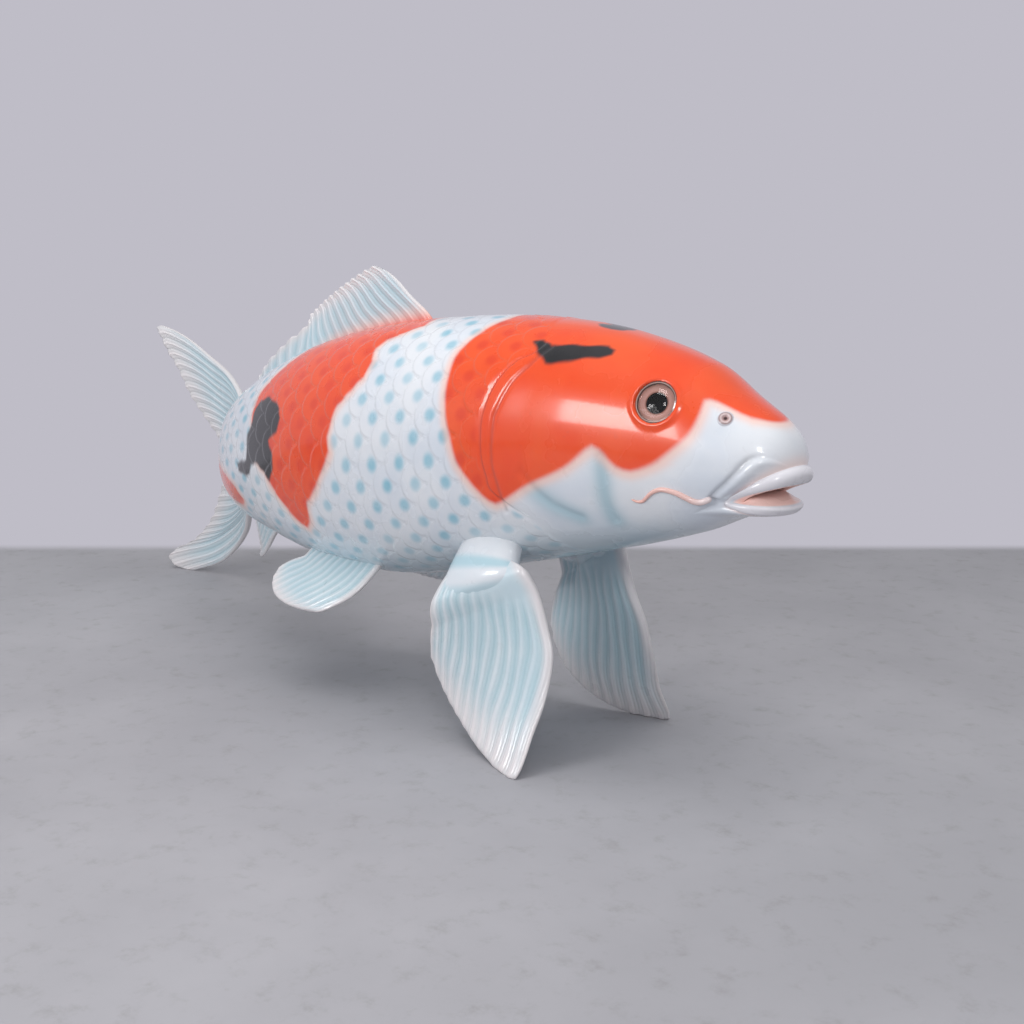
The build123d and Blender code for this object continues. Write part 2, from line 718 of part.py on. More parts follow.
def fin_rod_points(side):
    """Path of a breast fin's rod: from the spine tube out through the shoulder, then down the blade."""
    centre = axis_point(breast_place_share)
    outer = beside_shoulders(side, shoulder_ahead, shoulder_out_share, shoulder_drop_share)
    knee = (breast_point(side, 0, fin_rod_knee_share) + outer) / 2
    foot = breast_point(side, fin_rod_span_share, fin_rod_foot_share)
    return centre, knee, foot


def tail_rod_circles(grow):
    """Round rod that bends with the tail's sheet into its lower lobe."""
    points = [axis_point(tail_rod_root_share)]
    for part, drop in tail_rod_shares:
        plan = axis_point(1.0, part * tail_length)
        points.append(plan + UP * (drop * plan.Z))
    wires = []
    for count, point in enumerate(points):
        before, after = points[max(count - 1, 0)], points[min(count + 1, len(points) - 1)]
        plane = Plane(origin=point, z_dir=after - before, x_dir=UP.cross(after - before))
        wires.append(Wire.make_circle(tail_rod_diameter / 2 + grow, plane))
    return Solid.make_loft(wires)


def save(name, shape):
    """Write one named piece; a cut that left crumbs keeps its largest solid."""
    whole = max(shape.solids(), key=lambda solid: solid.volume)
    print(name, round(whole.volume / 1000, 1), "cm3")
    export_step(whole, f"parts/{name}.step")


start_share = section_place_shares[0]
muzzle_front = (
    axis_point(start_share)
    + ahead(body_heading(start_share)) * (bond_line + muzzle_length)
    - UP * muzzle_drop
)
mouth_height = muzzle_front.Z - body_depth * mouth_drop_share

os.makedirs("parts", exist_ok=True)
trim = ring_loft(section_place_shares, bond_line)
cheek_trim = ring_loft(section_place_shares, 2 * bond_line)
hollow = ring_loft(section_place_shares, -wall - 2 * bond_line)
tapes = {"seam_tape_back": seam_tape(90), "seam_tape_belly": seam_tape(-90)}
tape_room = [seam_tape(90, bond_line), seam_tape(-90, bond_line)]

spine_points = [axis_point(share) for share in spine_place_shares]
spine_bar = tube(spine_points, spine_bend, spine_diameter)
spine = spine_bar - tube(spine_points, spine_bend, spine_diameter - 2 * spine_wall)
spine_room = tube(spine_points, spine_bend, spine_diameter + 2 * bond_line)
tail_rod_room = tail_rod_circles(bond_line)

save("spine_tube", spine)
for name, shape in tapes.items():
    save(name, shape)
for share, name in zip(bulkhead_shares, bulkhead_names):
    rib = bulkhead(share, hollow) - spine_room
    for room in tape_room:
        rib = rib - room
    save(f"bulkhead_{name}", rib)

for side, word in ((-1, "right"), (1, "left")):
    rod_points = fin_rod_points(side)
    rod = tube(rod_points, fin_rod_bend, fin_rod_diameter) - spine_room
    rod_room = tube(rod_points, fin_rod_bend, fin_rod_diameter + 2 * bond_line)
    save(f"breast_fin_rod_{word}", rod)
    shell = half_shell(side) - rod_room - eye_hole(side) - nostril_pit(side)
    save(f"body_shell_{word}", shell)
    save(f"breast_fin_{word}", breast_fin(side) - trim - rod_room)
    save(f"belly_fin_{word}", belly_fin(side) - trim)
    ring, iris, dome = eye(side)
    save(f"eye_ring_{word}", ring)
    save(f"eye_iris_{word}", iris)
    save(f"eye_glass_{word}", dome)
    save(f"barbel_{word}", barbel(side) - cheek_trim)

save("dorsal_fin", dorsal_fin() - trim)
save("anal_fin", anal_fin() - trim)
blade, swell = tail_fin()
joint = Plane(origin=axis_point(1.0, bond_line), z_dir=-ahead(heading_degrees[-1]))
big = tail_length * 2
behind = joint * Box(big, big, big, align=(Align.CENTER, Align.CENTER, Align.MIN))
save("tail_fin", ((blade + swell) & behind) - tail_rod_room)
save("tail_rod", tail_rod_circles(0))
save("throat_cup", throat_cup())
save("mouth_casting", mouth_casting(pod(0)) - trim)
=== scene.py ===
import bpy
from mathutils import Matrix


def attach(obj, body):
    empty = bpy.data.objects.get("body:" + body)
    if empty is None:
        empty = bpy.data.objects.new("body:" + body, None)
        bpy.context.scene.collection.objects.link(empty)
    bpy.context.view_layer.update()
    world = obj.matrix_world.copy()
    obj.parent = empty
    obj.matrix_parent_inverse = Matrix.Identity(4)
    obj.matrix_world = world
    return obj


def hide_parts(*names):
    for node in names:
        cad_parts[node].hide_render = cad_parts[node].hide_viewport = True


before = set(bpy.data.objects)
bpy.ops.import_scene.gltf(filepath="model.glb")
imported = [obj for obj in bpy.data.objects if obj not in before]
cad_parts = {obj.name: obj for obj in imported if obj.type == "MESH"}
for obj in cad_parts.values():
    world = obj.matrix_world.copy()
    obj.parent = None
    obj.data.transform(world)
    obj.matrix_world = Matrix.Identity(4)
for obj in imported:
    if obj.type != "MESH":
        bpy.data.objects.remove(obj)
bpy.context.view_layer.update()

from math import cos, radians, sin

import bpy
import numpy as np
from mathutils import Vector

bl_info = {
    "name": "Koi Figure",
    "version": (1, 0, 0),
    "blender": (4, 5, 0),
    "location": "3D View > Sidebar > Koi",
    "description": "Scaled skin, mouth, eyes, barbels and rayed fins of a large painted koi figure",
    "category": "Object",
}

# Body, as in the part's source, in metres
body_length = 1.431
body_depth = 0.3887
body_width = 0.2833
stand_height = 0.434
section_fullness = 2.15
heading_place_shares = (0.0, 0.25, 0.45, 0.6, 0.75, 0.88, 1.0)
heading_degrees = (-4.0, -0.6, 0.25, -3.9, -12.1, -31.5, -35.5)
axis_place_shares = (0.0, 0.25, 0.5, 0.75, 1.0)
axis_height_shares = (0.982, 1.0, 0.9055, 0.797, 0.6467)
axis_steps = 240
section_place_shares = (0.03, 0.06, 0.1, 0.18, 0.27, 0.38, 0.5, 0.62, 0.74, 0.86, 0.94, 1.0)
back_shares = (0.163, 0.221, 0.307, 0.382, 0.430, 0.469, 0.487, 0.448, 0.356, 0.256, 0.210, 0.220)
belly_shares = (0.130, 0.178, 0.250, 0.353, 0.433, 0.495, 0.5125, 0.4565, 0.350, 0.246, 0.207, 0.240)
half_width_shares = (0.205, 0.256, 0.312, 0.4035, 0.465, 0.5, 0.485, 0.430, 0.329, 0.218, 0.1495, 0.0985)
tail_length = 0.366
tail_turn = 62.5  # degrees
tail_rise = 0.262
tail_thickness = 0.009
upper_lip_round = 0.0125
upper_lip_set_back = 0.004
breast_place_share = 0.3
breast_root_ahead = -0.011
breast_root_out = 0.445 * body_width
breast_root_drop = 0.503 * body_depth
breast_tip_ahead = 0.112
breast_tip_out = 0.579 * body_width
breast_side_step = 0.008
breast_out_step = 0.011
shoulder_ahead = -0.016
shoulder_out = 0.3177 * body_width
shoulder_drop = 0.395 * body_depth
shoulder_inner_ahead = -0.020
shoulder_inner_out = 0.1765 * body_width
shoulder_inner_drop = 0.269 * body_depth

UP = np.array([0.0, 0.0, 1.0])


def smooth(place, places, values):
    """Cubic through the listed values, each slope taken between a value's two neighbours.

    The values may be numbers or whole rows of points, and place may be an array of any shape.
    """
    place = np.asarray(place, float)
    places, values = np.asarray(places, float), np.asarray(values, float)
    last = len(places) - 1
    count = np.arange(last + 1)
    before, after = np.maximum(count - 1, 0), np.minimum(count + 1, last)
    tall = (1,) * (values.ndim - 1)
    slopes = (values[after] - values[before]) / (places[after] - places[before]).reshape((-1,) + tall)
    low = np.clip(np.searchsorted(places, place) - 1, 0, last - 1)
    gap = (places[low + 1] - places[low]).reshape(place.shape + tall)
    part = (place - places[low]).reshape(place.shape + tall) / gap
    rise = values[low + 1] - values[low]
    start, end = slopes[low] * gap, slopes[low + 1] * gap
    curve = (start + end - 2 * rise) * part**3 + (3 * rise - 2 * start - end) * part**2
    return values[low] + start * part + curve


def step_up(value, low, high):
    """0 below low, 1 above high, and a smooth S between them."""
    part = np.clip((value - low) / (high - low), 0, 1)
    return part * part * (3 - 2 * part)


def hump(distance, width):
    """1 at no distance, falling off on both sides as a bell."""
    return np.exp(-((distance / width) ** 2))


def signed_power(value):
    """Power that rounds a section's outline, with the value's own sign."""
    return np.sign(value) * np.abs(value) ** (2 / section_fullness)


def walk(begin, headings, distance):
    """Points in plan, stepped backwards from begin against the given headings."""
    angles = np.radians(headings)
    steps = -np.stack([np.cos(angles), np.sin(angles)], -1) * (distance / axis_steps)
    return np.vstack([begin, begin + np.cumsum(steps, axis=0)])


middles = (np.arange(axis_steps) + 0.5) / axis_steps
walk_shares = np.linspace(0, 1, axis_steps + 1)
body_walk = walk(np.zeros(2), smooth(middles, heading_place_shares, heading_degrees), body_length)
tail_walk = walk(body_walk[-1], heading_degrees[-1] + tail_turn * middles, tail_length)
shoulder_y = np.interp(breast_place_share, walk_shares, body_walk[:, 1])
lip_front = upper_lip_round - upper_lip_set_back
far_left = tail_walk[:, 1].max() + tail_thickness / 2
far_right = shoulder_y - breast_tip_out - breast_out_step
origin_shift = -np.array([lip_front + tail_walk[-1, 0], far_left + far_right]) / 2
body_walk = body_walk + origin_shift
tail_walk = tail_walk + origin_shift
nose = body_walk[0]


def axis_height(share):
    """Height of the axis over the floor: a smooth curve through the listed shares of the stand height."""
    return smooth(share, axis_place_shares, axis_height_shares) * stand_height


def axis_plan(share):
    """Plan point of the axis at a share of the body, or past 1 along the tail's curve."""
    share = np.asarray(share, float)
    run = np.maximum(share - 1, 0) * body_length / tail_length
    before = [np.interp(share, walk_shares, body_walk[:, axis]) for axis in (0, 1)]
    after = [np.interp(run, walk_shares, tail_walk[:, axis]) for axis in (0, 1)]
    return [np.where(share > 1, b, a) for a, b in zip(before, after)]


def heading_at(share):
    """Heading in radians; past 1 it turns evenly along the tail."""
    run = np.maximum(share - 1, 0) * body_length / tail_length
    degrees = smooth(np.minimum(share, 1), heading_place_shares, heading_degrees) + tail_turn * run
    return np.radians(degrees)


def half_sizes(share):
    """Half the section at a share of the body: up to the back, down to the belly and out to the side."""
    share = np.minimum(share, 1)
    top = smooth(share, section_place_shares, back_shares) * body_depth
    low = smooth(share, section_place_shares, belly_shares) * body_depth
    side = smooth(share, section_place_shares, half_width_shares) * body_width
    return top, low, side


# Where the body runs into the tail: length of the run, in metres, and its width down it
tail_root_run = 0.095
tail_root_places = (0.0, 1 / 3, 2 / 3, 1.0)
tail_root_swell = (1.0, 0.74, 0.45, 0.13)


def ring(share, degrees):
    """Point of the skin: the section's rounded outline at a share of the body and degrees around it.

    0 degrees is the right flank, 90 the crest, 180 the left flank and -90 the keel.
    """
    share, degrees = np.broadcast_arrays(np.asarray(share, float), np.asarray(degrees, float))
    plan, heading = axis_plan(share), heading_at(share)
    top, low, side = half_sizes(share)
    run = np.clip((share - 1) * body_length / tail_root_run, 0, 1)
    side = side * smooth(run, tail_root_places, tail_root_swell)
    rise, out = signed_power(np.sin(np.radians(degrees))), signed_power(np.cos(np.radians(degrees)))
    height = axis_height(np.minimum(share, 1)) + rise * np.where(rise > 0, top, low)
    out = out * side
    return np.stack([plan[0] + np.sin(heading) * out, plan[1] - np.cos(heading) * out, height], -1)


nose_heading = radians(heading_degrees[0])
AHEAD = np.array([cos(nose_heading), sin(nose_heading), 0.0])
RIGHT = np.array([sin(nose_heading), -cos(nose_heading), 0.0])


def head_point(ahead, right, height):
    """Point given from the nose along the head, to its right, and above the floor."""
    ahead, right, height = np.broadcast_arrays(ahead, right, height)
    base = np.array([nose[0], nose[1], 0.0])
    return base + ahead[..., None] * AHEAD + right[..., None] * RIGHT + height[..., None] * UP


# Lip curves: middle of the upper lip, corner and middle of the lower lip, each (ahead, side, height),
# from the groove under the muzzle round the lips and back into the throat
corner_degrees = -44.0
lip_lines = (
    ((-9.5, 0, 434.5), (-76, 49, 384), (-28, 0, 371)),
    ((-3.8, 0, 431), (-80, 52, 384.5), (-19, 0, 373.5)),
    ((-0.8, 0, 425.5), (-81, 53, 386), (-13.8, 0, 378)),
    ((-1.2, 0, 419), (-79, 52.5, 387), (-12.0, 0, 381.5)),
    ((-4.8, 0, 413.5), (-73, 50, 387.5), (-15, 0, 385)),
    ((-12, 0, 410.5), (-64, 43, 387.5), (-24, 0, 389)),
    ((-25, 0, 411), (-62, 37, 388), (-44, 0, 397)),
    ((-62, 0, 413), (-78, 22, 391), (-66, 0, 399)),
    ((-92, 0, 407), (-94, 6, 398), (-92, 0, 396)),
)
lip_places = (0.0, 0.1, 0.22, 0.34, 0.46, 0.6, 0.72, 0.9, 1.0)


def lip_curve(line, degrees):
    """One lip curve: powers of the cosine and sine of the way from its middle to the corner of the mouth."""
    upper, corner, lower = (np.array(point) / 1000 for point in line)
    around = np.where(np.cos(np.radians(degrees)) < 0, 180 - degrees, degrees)
    around = (around + 180) % 360 - 180
    above = around > corner_degrees
    turn = np.where(above, (90 - around) / (90 - corner_degrees), (around + 90) / (corner_degrees + 90))
    turn = np.radians(90 * np.clip(turn, 0, 1))
    middle = np.where(above[:, None], upper, lower)
    along = np.clip(np.cos(turn), 0, 1)
    ahead = corner[0] + (middle[:, 0] - corner[0]) * along ** np.where(above, 0.61, 0.8)
    side = corner[1] * np.sin(turn) * np.sign(np.cos(np.radians(degrees)))
    height = corner[2] + (middle[:, 2] - corner[2]) * along ** np.where(above, 0.46, 0.42)
    return head_point(ahead, side, height)


columns = 480
ring_degrees = np.arange(columns) * (360 / columns)
folded = np.where(np.cos(np.radians(ring_degrees)) < 0, 180 - ring_degrees, ring_degrees)
folded = (folded + 180) % 360 - 180
start_behind = 0.035  # where the muzzle's own surface takes over, behind the groove of the lips
muzzle_keys = (-90, -60, -44, -30, 0, 30, 60, 90)
muzzle_into = np.array([
    (1.0, 0.0, 0.15), (0.95, -0.2, 0.2), (0.9, -0.4, 0.1), (0.6, -0.6, -0.2),
    (0.4, -0.7, -0.55), (0.2, -0.6, -0.75), (0.1, -0.3, -0.95), (0.12, 0.0, -1.0),
])
muzzle_pull = (0.9, 0.9, 0.9, 0.95, 1.1, 1.2, 1.25, 1.3)


def muzzle_patch(rows):
    """Blunt front of the head: on every column a cubic from the body's section to the lips' groove.

    It leaves along the body and arrives in the groove's direction, with a pull that grows to the brow.
    """
    groove = lip_curve(lip_lines[0], ring_degrees)
    reach = (groove - np.append(nose, 0)) @ AHEAD
    begin = -reach / body_length + start_behind
    back = ring(begin, ring_degrees)
    ahead = back - ring(begin + 0.002, ring_degrees)
    ahead = ahead / np.linalg.norm(ahead, axis=1, keepdims=True)
    into = smooth(folded, muzzle_keys, muzzle_into)
    side = np.sign(np.cos(np.radians(ring_degrees)))[:, None]
    into = into[:, :1] * AHEAD + into[:, 1:2] * side * RIGHT + into[:, 2:] * UP
    into = into / np.linalg.norm(into, axis=1, keepdims=True)
    pull = smooth(folded, muzzle_keys, muzzle_pull)[:, None] * np.linalg.norm(groove - back, axis=1)[:, None]
    t = np.linspace(1, 0, rows)[:, None, None]
    points = (2 * t**3 - 3 * t**2 + 1) * back + (3 * t**2 - 2 * t**3) * groove
    points = points + (t**3 - 2 * t**2 + t) * pull * ahead + (t**3 - t**2) * pull * into
    return points, begin, t[:, :, 0]


lip_rows, muzzle_rows, body_rows, root_rows = 76, 56, 660, 34


def skin_places(points, begin, t):
    """Share of the body and degrees above the flank for every point of the skin, with the muzzle's worked
    back from its points: the section through a point is found, and the point's bearing in it."""
    local = points - np.append(nose, 0)
    share = -(local @ AHEAD) / body_length
    top, low, side = half_sizes(share)
    rise = points[..., 2] - axis_height(share)
    rise = np.sign(rise) * np.abs(rise / np.where(rise > 0, top, low)) ** (section_fullness / 2)
    out = np.abs((local @ RIGHT) / side) ** (section_fullness / 2)
    bearing = np.degrees(np.arctan2(rise, out))
    near = step_up(t, 0.0, 0.5)
    exact = begin - t * start_behind
    return exact + (share - exact) * near, folded + (bearing - folded) * near


def skin_grid():
    """The whole skin in rows from the throat over the lips and muzzle to the tail root."""
    lips = np.stack([lip_curve(line, ring_degrees) for line in lip_lines])
    lips = smooth(np.linspace(1, 0, lip_rows), lip_places, lips)[:-1]
    muzzle, begin, t = muzzle_patch(muzzle_rows)
    along = np.linspace(0, 1, body_rows)[1:, None]
    share = begin + (1 - begin) * along
    root = 1 + np.linspace(0, tail_root_run / body_length, root_rows)[1:, None] + 0 * ring_degrees
    body_share = np.vstack([share, root])
    body = ring(body_share, ring_degrees)
    points = np.vstack([lips, muzzle, body])
    muzzle_share, muzzle_bearing = skin_places(muzzle, begin, t)
    still = np.zeros_like(lips[..., 0])
    shares = np.vstack([still + muzzle_share[:1], muzzle_share, body_share])
    bearings = np.vstack([still + muzzle_bearing[:1], muzzle_bearing, 0 * body_share + folded])
    on_lip, inside, groove = (np.zeros_like(shares) for _ in range(3))
    way_in = np.linspace(1, 0, lip_rows)[:-1, None]
    on_lip[: lip_rows - 1] = 1
    inside[: lip_rows - 1] = step_up(way_in, 0.40, 1.0)
    groove[: lip_rows - 1] = hump(way_in, 0.055)
    groove[lip_rows - 1 : lip_rows - 1 + muzzle_rows] = hump((1 - t) * 0.045, 0.0055)
    return points, shares, bearings, on_lip, inside, groove


def grid_normals(points, closed):
    """Unit normals of a grid: across its columns times down its rows."""
    down = np.gradient(points, axis=0)
    if closed:
        across = np.roll(points, -1, 1) - np.roll(points, 1, 1)
    else:
        across = np.gradient(points, axis=1)
    normal = np.cross(across, down)
    return normal / np.maximum(np.linalg.norm(normal, axis=-1, keepdims=True), 1e-12)


def line_distance(share, bearing, unit, line):
    """Distance on the skin to a line through places (share of the body, degrees), in metres."""
    x = share * body_length
    best = np.full(share.shape, 9.0)
    for (s0, d0), (s1, d1) in zip(line[:-1], line[1:]):
        run, rise = (s1 - s0) * body_length, (d1 - d0) * unit
        from_x, from_y = x - s0 * body_length, (bearing - d0) * unit
        part = np.clip((from_x * run + from_y * rise) / (run * run + rise * rise), 0, 1)
        best = np.minimum(best, np.hypot(from_x - part * run, from_y - part * rise))
    return best


def patch_distance(share, bearing, unit, outline):
    """Distance to a closed outline on the skin, negative inside it (a count of crossings tells which)."""
    closed = list(outline) + [outline[0]]
    inside = np.zeros(share.shape, bool)
    for (s0, d0), (s1, d1) in zip(closed[:-1], closed[1:]):
        if d0 != d1:
            crossing = (bearing > d0) != (bearing > d1)
            inside ^= crossing & (share < s0 + (bearing - d0) * (s1 - s0) / (d1 - d0))
    gap = line_distance(share, bearing, unit, closed)
    return np.where(inside, -gap, gap)


gill_line = (
    (0.205, -90), (0.222, -60), (0.245, -36), (0.286, -18), (0.290, -11), (0.294, -4), (0.295, 3),
    (0.295, 11), (0.292, 18), (0.288, 25), (0.280, 34), (0.268, 42), (0.255, 47), (0.248, 60),
    (0.258, 75), (0.264, 92),
)
inner_gill_line = (
    (0.239, 52), (0.252, 39), (0.265, 30), (0.272, 22), (0.279, 13), (0.280, 6), (0.281, -1),
    (0.280, -8), (0.276, -16), (0.272, -29),
)
lower_folds = (
    ((0.248, -10), (0.234, -19), (0.218, -27), (0.192, -36)),
    ((0.161, -1), (0.161, -12), (0.161, -28), (0.158, -40)),
)
cheek_fold = ((0.062, -34), (0.064, -30), (0.049, -14), (0.038, 2), (0.029, 15), (0.020, 26))
head_patch = (
    (0.325, 99), (0.319, 80), (0.329, 65), (0.338, 54), (0.346, 44), (0.346, 34), (0.344, 23), (0.339, 13),
    (0.332, 4), (0.324, -5), (0.312, -12), (0.299, -19), (0.283, -25), (0.266, -22), (0.242, -16),
    (0.216, -11), (0.198, -6.5), (0.179, 1), (0.171, 3.5), (0.1616, 1.5), (0.1566, -0.8), (0.1468, -5),
    (0.1346, -6.8), (0.1223, -4.5), (0.1092, 0), (0.0968, 6.8), (0.0854, 15.8), (0.0802, 24),
    (0.0779, 33.8), (0.0777, 41), (0.0775, 50), (0.072, 53), (0.067, 54.8), (0.0521, 57), (0.0432, 58.5),
    (0.0385, 63), (0.0306, 72.7), (0.0266, 84), (0.0262, 99),
)
middle_patch = (
    (0.430, 99), (0.429, 84), (0.426, 71), (0.442, 63), (0.462, 58), (0.471, 51), (0.464, 43),
    (0.468, 34), (0.482, 28), (0.499, 21), (0.506, 15), (0.512, 7), (0.508, 1), (0.518, -4),
    (0.532, -11), (0.545, -17), (0.558, -21), (0.561, -27), (0.565, -33), (0.575, -37), (0.584, -36),
    (0.591, -33), (0.608, -25), (0.629, -15), (0.640, -8), (0.665, 0), (0.680, 20), (0.681, 33),
    (0.668, 44), (0.648, 53), (0.632, 62), (0.62, 74), (0.612, 99),
)
rear_patch = (
    (0.729, -32), (0.745, -23), (0.774, -15), (0.806, -8), (0.83, -3), (0.86, 2), (0.88, -6),
    (0.868, -22), (0.84, -30), (0.80, -36), (0.765, -40), (0.742, -39),
)
dark_patches = (
    (
        (0.2614, 54.8), (0.2493, 46.5), (0.2356, 41.2), (0.2195, 42.8), (0.2014, 47.2), (0.1848, 51.0),
        (0.1755, 55.5), (0.1755, 60), (0.1838, 62.5), (0.2001, 58.8), (0.2206, 56.2), (0.2398, 53.2),
        (0.252, 57),
    ),
    ((0.224, 87), (0.212, 92), (0.191, 92), (0.186, 91), (0.191, 84), (0.202, 80), (0.216, 82)),
    (
        (0.644, 33), (0.615, 25), (0.605, 18), (0.611, 11), (0.628, 7), (0.619, 0), (0.619, -6),
        (0.631, -13), (0.642, -9), (0.654, -5), (0.666, -3), (0.678, -5), (0.685, -11), (0.704, -12),
        (0.721, -9), (0.724, -4), (0.709, -3), (0.692, -2), (0.690, 5), (0.688, 12), (0.678, 19),
        (0.675, 28), (0.665, 32),
    ),
)
scale_length, scale_start = 0.0405, 0.4005  # share of the body between scales, and of one row's first
row_degrees, row_start = 9.0, 4.9  # degrees between rows of scales on the flank, and of one row
flank_degrees = 45.0  # beyond this the rows are spaced to meet the crest and the keel
crest_rows = (4.4556, 9.0)  # row numbers at 45 degrees and at the crest
keel_rows = (-5.5444, -11.0)  # row numbers at -45 degrees and at the keel


def scale_lattice(share, bearing):
    """Scale coordinates: along counts scales from head to tail, and around counts rows up from the flank."""
    along = (share - scale_start) / scale_length
    around = (bearing - row_start) / row_degrees
    beyond = (np.abs(bearing) - flank_degrees) / (90 - flank_degrees)
    for side, (near, last) in ((1, crest_rows), (-1, keel_rows)):
        around = np.where(side * bearing > flank_degrees, near + (last - near) * beyond, around)
    return along, around


def scale_height(along, around):
    """Overlapping round scales: each point lies on the foremost disc over it and rises to its rear arc."""
    height = np.zeros(along.shape)
    best = np.full(along.shape, -9.0)
    for step in (0, 1):
        row = np.floor(around) + step
        shift = np.where(np.mod(row, 2) == 0, 1.0, 0.0)
        x = np.mod(2 * along - shift + 1, 2) - 1
        y = around - row
        half = np.sqrt(np.maximum(1 - y * y, 1e-9))
        on = (np.abs(x) <= half) & (x > best)
        ramp = np.clip((x + half) / (2 * half), 0, 1)
        height = np.where(on, ramp**1.3 * (0.55 + 0.45 * half), height)
        best = np.where(on, x, best)
    return height


# Heights of the carving, in metres
scale_relief, cover_relief, gill_relief, inner_relief = 0.0012, 0.0022, 0.0016, 0.0019
fold_relief, band_relief, cheek_relief = 0.0016, 0.0030, 0.0028
lid_relief, socket_depth = 0.0022, 0.013
soft_edge = (-0.0045, 0.004)  # where the orange fades across its outline
dark_edge = (-0.004, 0.0035)


def skin_data():
    """The finished skin: grid, normals, and its paint and detail at every point."""
    points, share, bearing, on_lip, inside, groove = skin_grid()
    left = (np.cos(np.radians(ring_degrees)) < 0)[None]
    fade = np.clip((90 - np.abs(bearing)) / 60, 0, 1)
    sway = 0.012 * np.sin(share * 23 + 1.1) + 0.007 * np.sin(bearing / 13 + 2)
    paint_share = share + np.where(left, sway * fade, 0) * step_up(share, 0.3, 0.5)
    top, low, side = half_sizes(np.maximum(share, 0.03))
    unit = np.radians(1) * (side + np.where(bearing > 0, top, low)) / 2
    ragged = 0.0016 * np.sin(share * 310 + 4 * np.sin(bearing / 9)) + 0.0012 * np.sin(bearing / 2.3)

    head = patch_distance(share, bearing, unit, even_places(head_patch, 96, (1, 0.002)))
    middle = patch_distance(paint_share, bearing, unit, middle_patch) + 0.5 * ragged
    rear = patch_distance(paint_share, bearing, unit, rear_patch) + 0.4 * ragged
    orange_gap = np.minimum(np.minimum(head, middle), rear)
    dark_gap = np.full(share.shape, 9.0)
    for count, outline in enumerate(dark_patches):
        moved = share if count < 2 else paint_share
        dark_gap = np.minimum(dark_gap, patch_distance(moved, bearing, unit, outline))
    dark_gap = dark_gap + 0.6 * ragged
    off_lip = 1 - on_lip
    orange = (1 - step_up(orange_gap, *soft_edge)) * off_lip
    dark = (1 - step_up(dark_gap, *dark_edge)) * off_lip
    fringe = np.maximum(hump(orange_gap - 0.003, 0.0075) * off_lip, 0.6 * groove)
    folds = [line_distance(share, bearing, unit, line) for line in lower_folds]
    # Painted shade: darker blue-grey in the lower gill folds, partly a sprayed tint and partly shade in the
    # folds, and under the belly and head where less light falls
    shade = sum(hump(fold, 0.014) for fold in folds)
    shade = shade + 0.8 * step_up(-bearing, 28, 75) * step_up(share, 0.06, 0.15)
    shade = np.clip(shade, 0, 1) * off_lip

    gill_degrees = np.array([place[1] for place in gill_line], float)
    gill_share = smooth(np.clip(bearing, -90, 90), gill_degrees, [place[0] for place in gill_line])
    behind = (share - gill_share) * body_length
    window = step_up(bearing, -40, -20) * (1 - step_up(bearing, 46, 60))
    scaled = step_up(behind, 0.003, 0.010) * (1 - step_up(share, 1.01, 1.05))

    along, around = scale_lattice(share, bearing)
    weak = 1 - 0.45 * step_up(share, 0.85, 1.0)
    cover = step_up(behind, -0.075, -0.012) * (1 - step_up(behind, -0.0045, 0.0015))
    inner = line_distance(share, bearing, unit, inner_gill_line)
    cheek = line_distance(share, bearing, unit, cheek_fold)
    band = line_distance(share + 0.0075, bearing, unit, cheek_fold)
    cheek_fade = (1 - step_up(bearing, 8, 26)) * off_lip
    relief = scale_relief * scale_height(along, around) * scaled * weak
    relief = relief + (cover_relief * cover - gill_relief * hump(behind + 0.001, 0.0028)) * window
    relief = relief - inner_relief * hump(inner, 0.0034)
    for fold in folds:
        relief = relief - fold_relief * hump(fold, 0.006)
    relief = relief + (band_relief * hump(band, 0.006) - cheek_relief * hump(cheek, 0.004)) * cheek_fade

    points = points + grid_normals(points, True) * relief[..., None]
    for word, centre, out in eye_places():
        local = points - centre
        rise = local @ out
        radius = np.linalg.norm(local - rise[..., None] * out, axis=-1)
        near = np.abs(rise) < 0.06
        push = np.where(near, socket_depth * (1 - step_up(radius, 0.0245, 0.0274)), 0)
        lid = np.where(near, lid_relief * hump(radius - 0.0308, 0.004), 0)
        points = points + out * (lid - push)[..., None]
    # Painted shade in the gill and cheek grooves, carried to the paint as the crease channel
    crease = hump(inner, 0.0022) + hump(behind + 0.001, 0.0022) * window
    crease = crease + hump(cheek, 0.003) * (1 - step_up(bearing, 5, 24)) * off_lip
    return {
        "points": points,
        "normals": grid_normals(points, True),
        "paint": np.stack([orange, dark, fringe, shade], -1),
        "detail": np.stack([scaled, np.clip(crease, 0, 1), on_lip, inside], -1),
        "lattice": np.stack([along, around], -1),
        "share": share,
        "bearing": bearing,
    }


eye_share, eye_degrees, eye_sink = 0.118, 33.0, 0.0025
eye_swell = 1.13


def eye_places():
    """Centre of each eye, a little below the skin, and its outward direction."""
    for word, degrees, turn in (("right", eye_degrees, 1), ("left", 180 - eye_degrees, -1)):
        place, around = ring(eye_share, degrees), ring(eye_share, degrees + 0.1 * turn)
        ahead = ring(eye_share - 1 / axis_steps, degrees) - place
        ahead = ahead / np.linalg.norm(ahead)
        out = np.cross(ahead, around - place) * turn
        out = out / np.linalg.norm(out)
        right = np.array([sin(heading_at(eye_share)), -cos(heading_at(eye_share)), 0.0])
        out = out if (out @ right) * turn > 0 else -out
        yield word, place - out * eye_sink, out


def grid_faces(rows, columns, closed):
    """Corner numbers of a grid's quads; closed joins the last column to the first."""
    across = columns if closed else columns - 1
    row, column = np.meshgrid(np.arange(rows - 1), np.arange(across), indexing="ij")
    after = (column + 1) % columns
    corners = [row * columns + column, row * columns + after]
    corners += [(row + 1) * columns + after, (row + 1) * columns + column]
    return np.stack(corners, -1).reshape(-1, 4)


def add_object(name, data):
    """A new object in the scene with its mesh, light or camera."""
    holder = bpy.data.objects.new(name, data)
    bpy.context.scene.collection.objects.link(holder)
    return holder


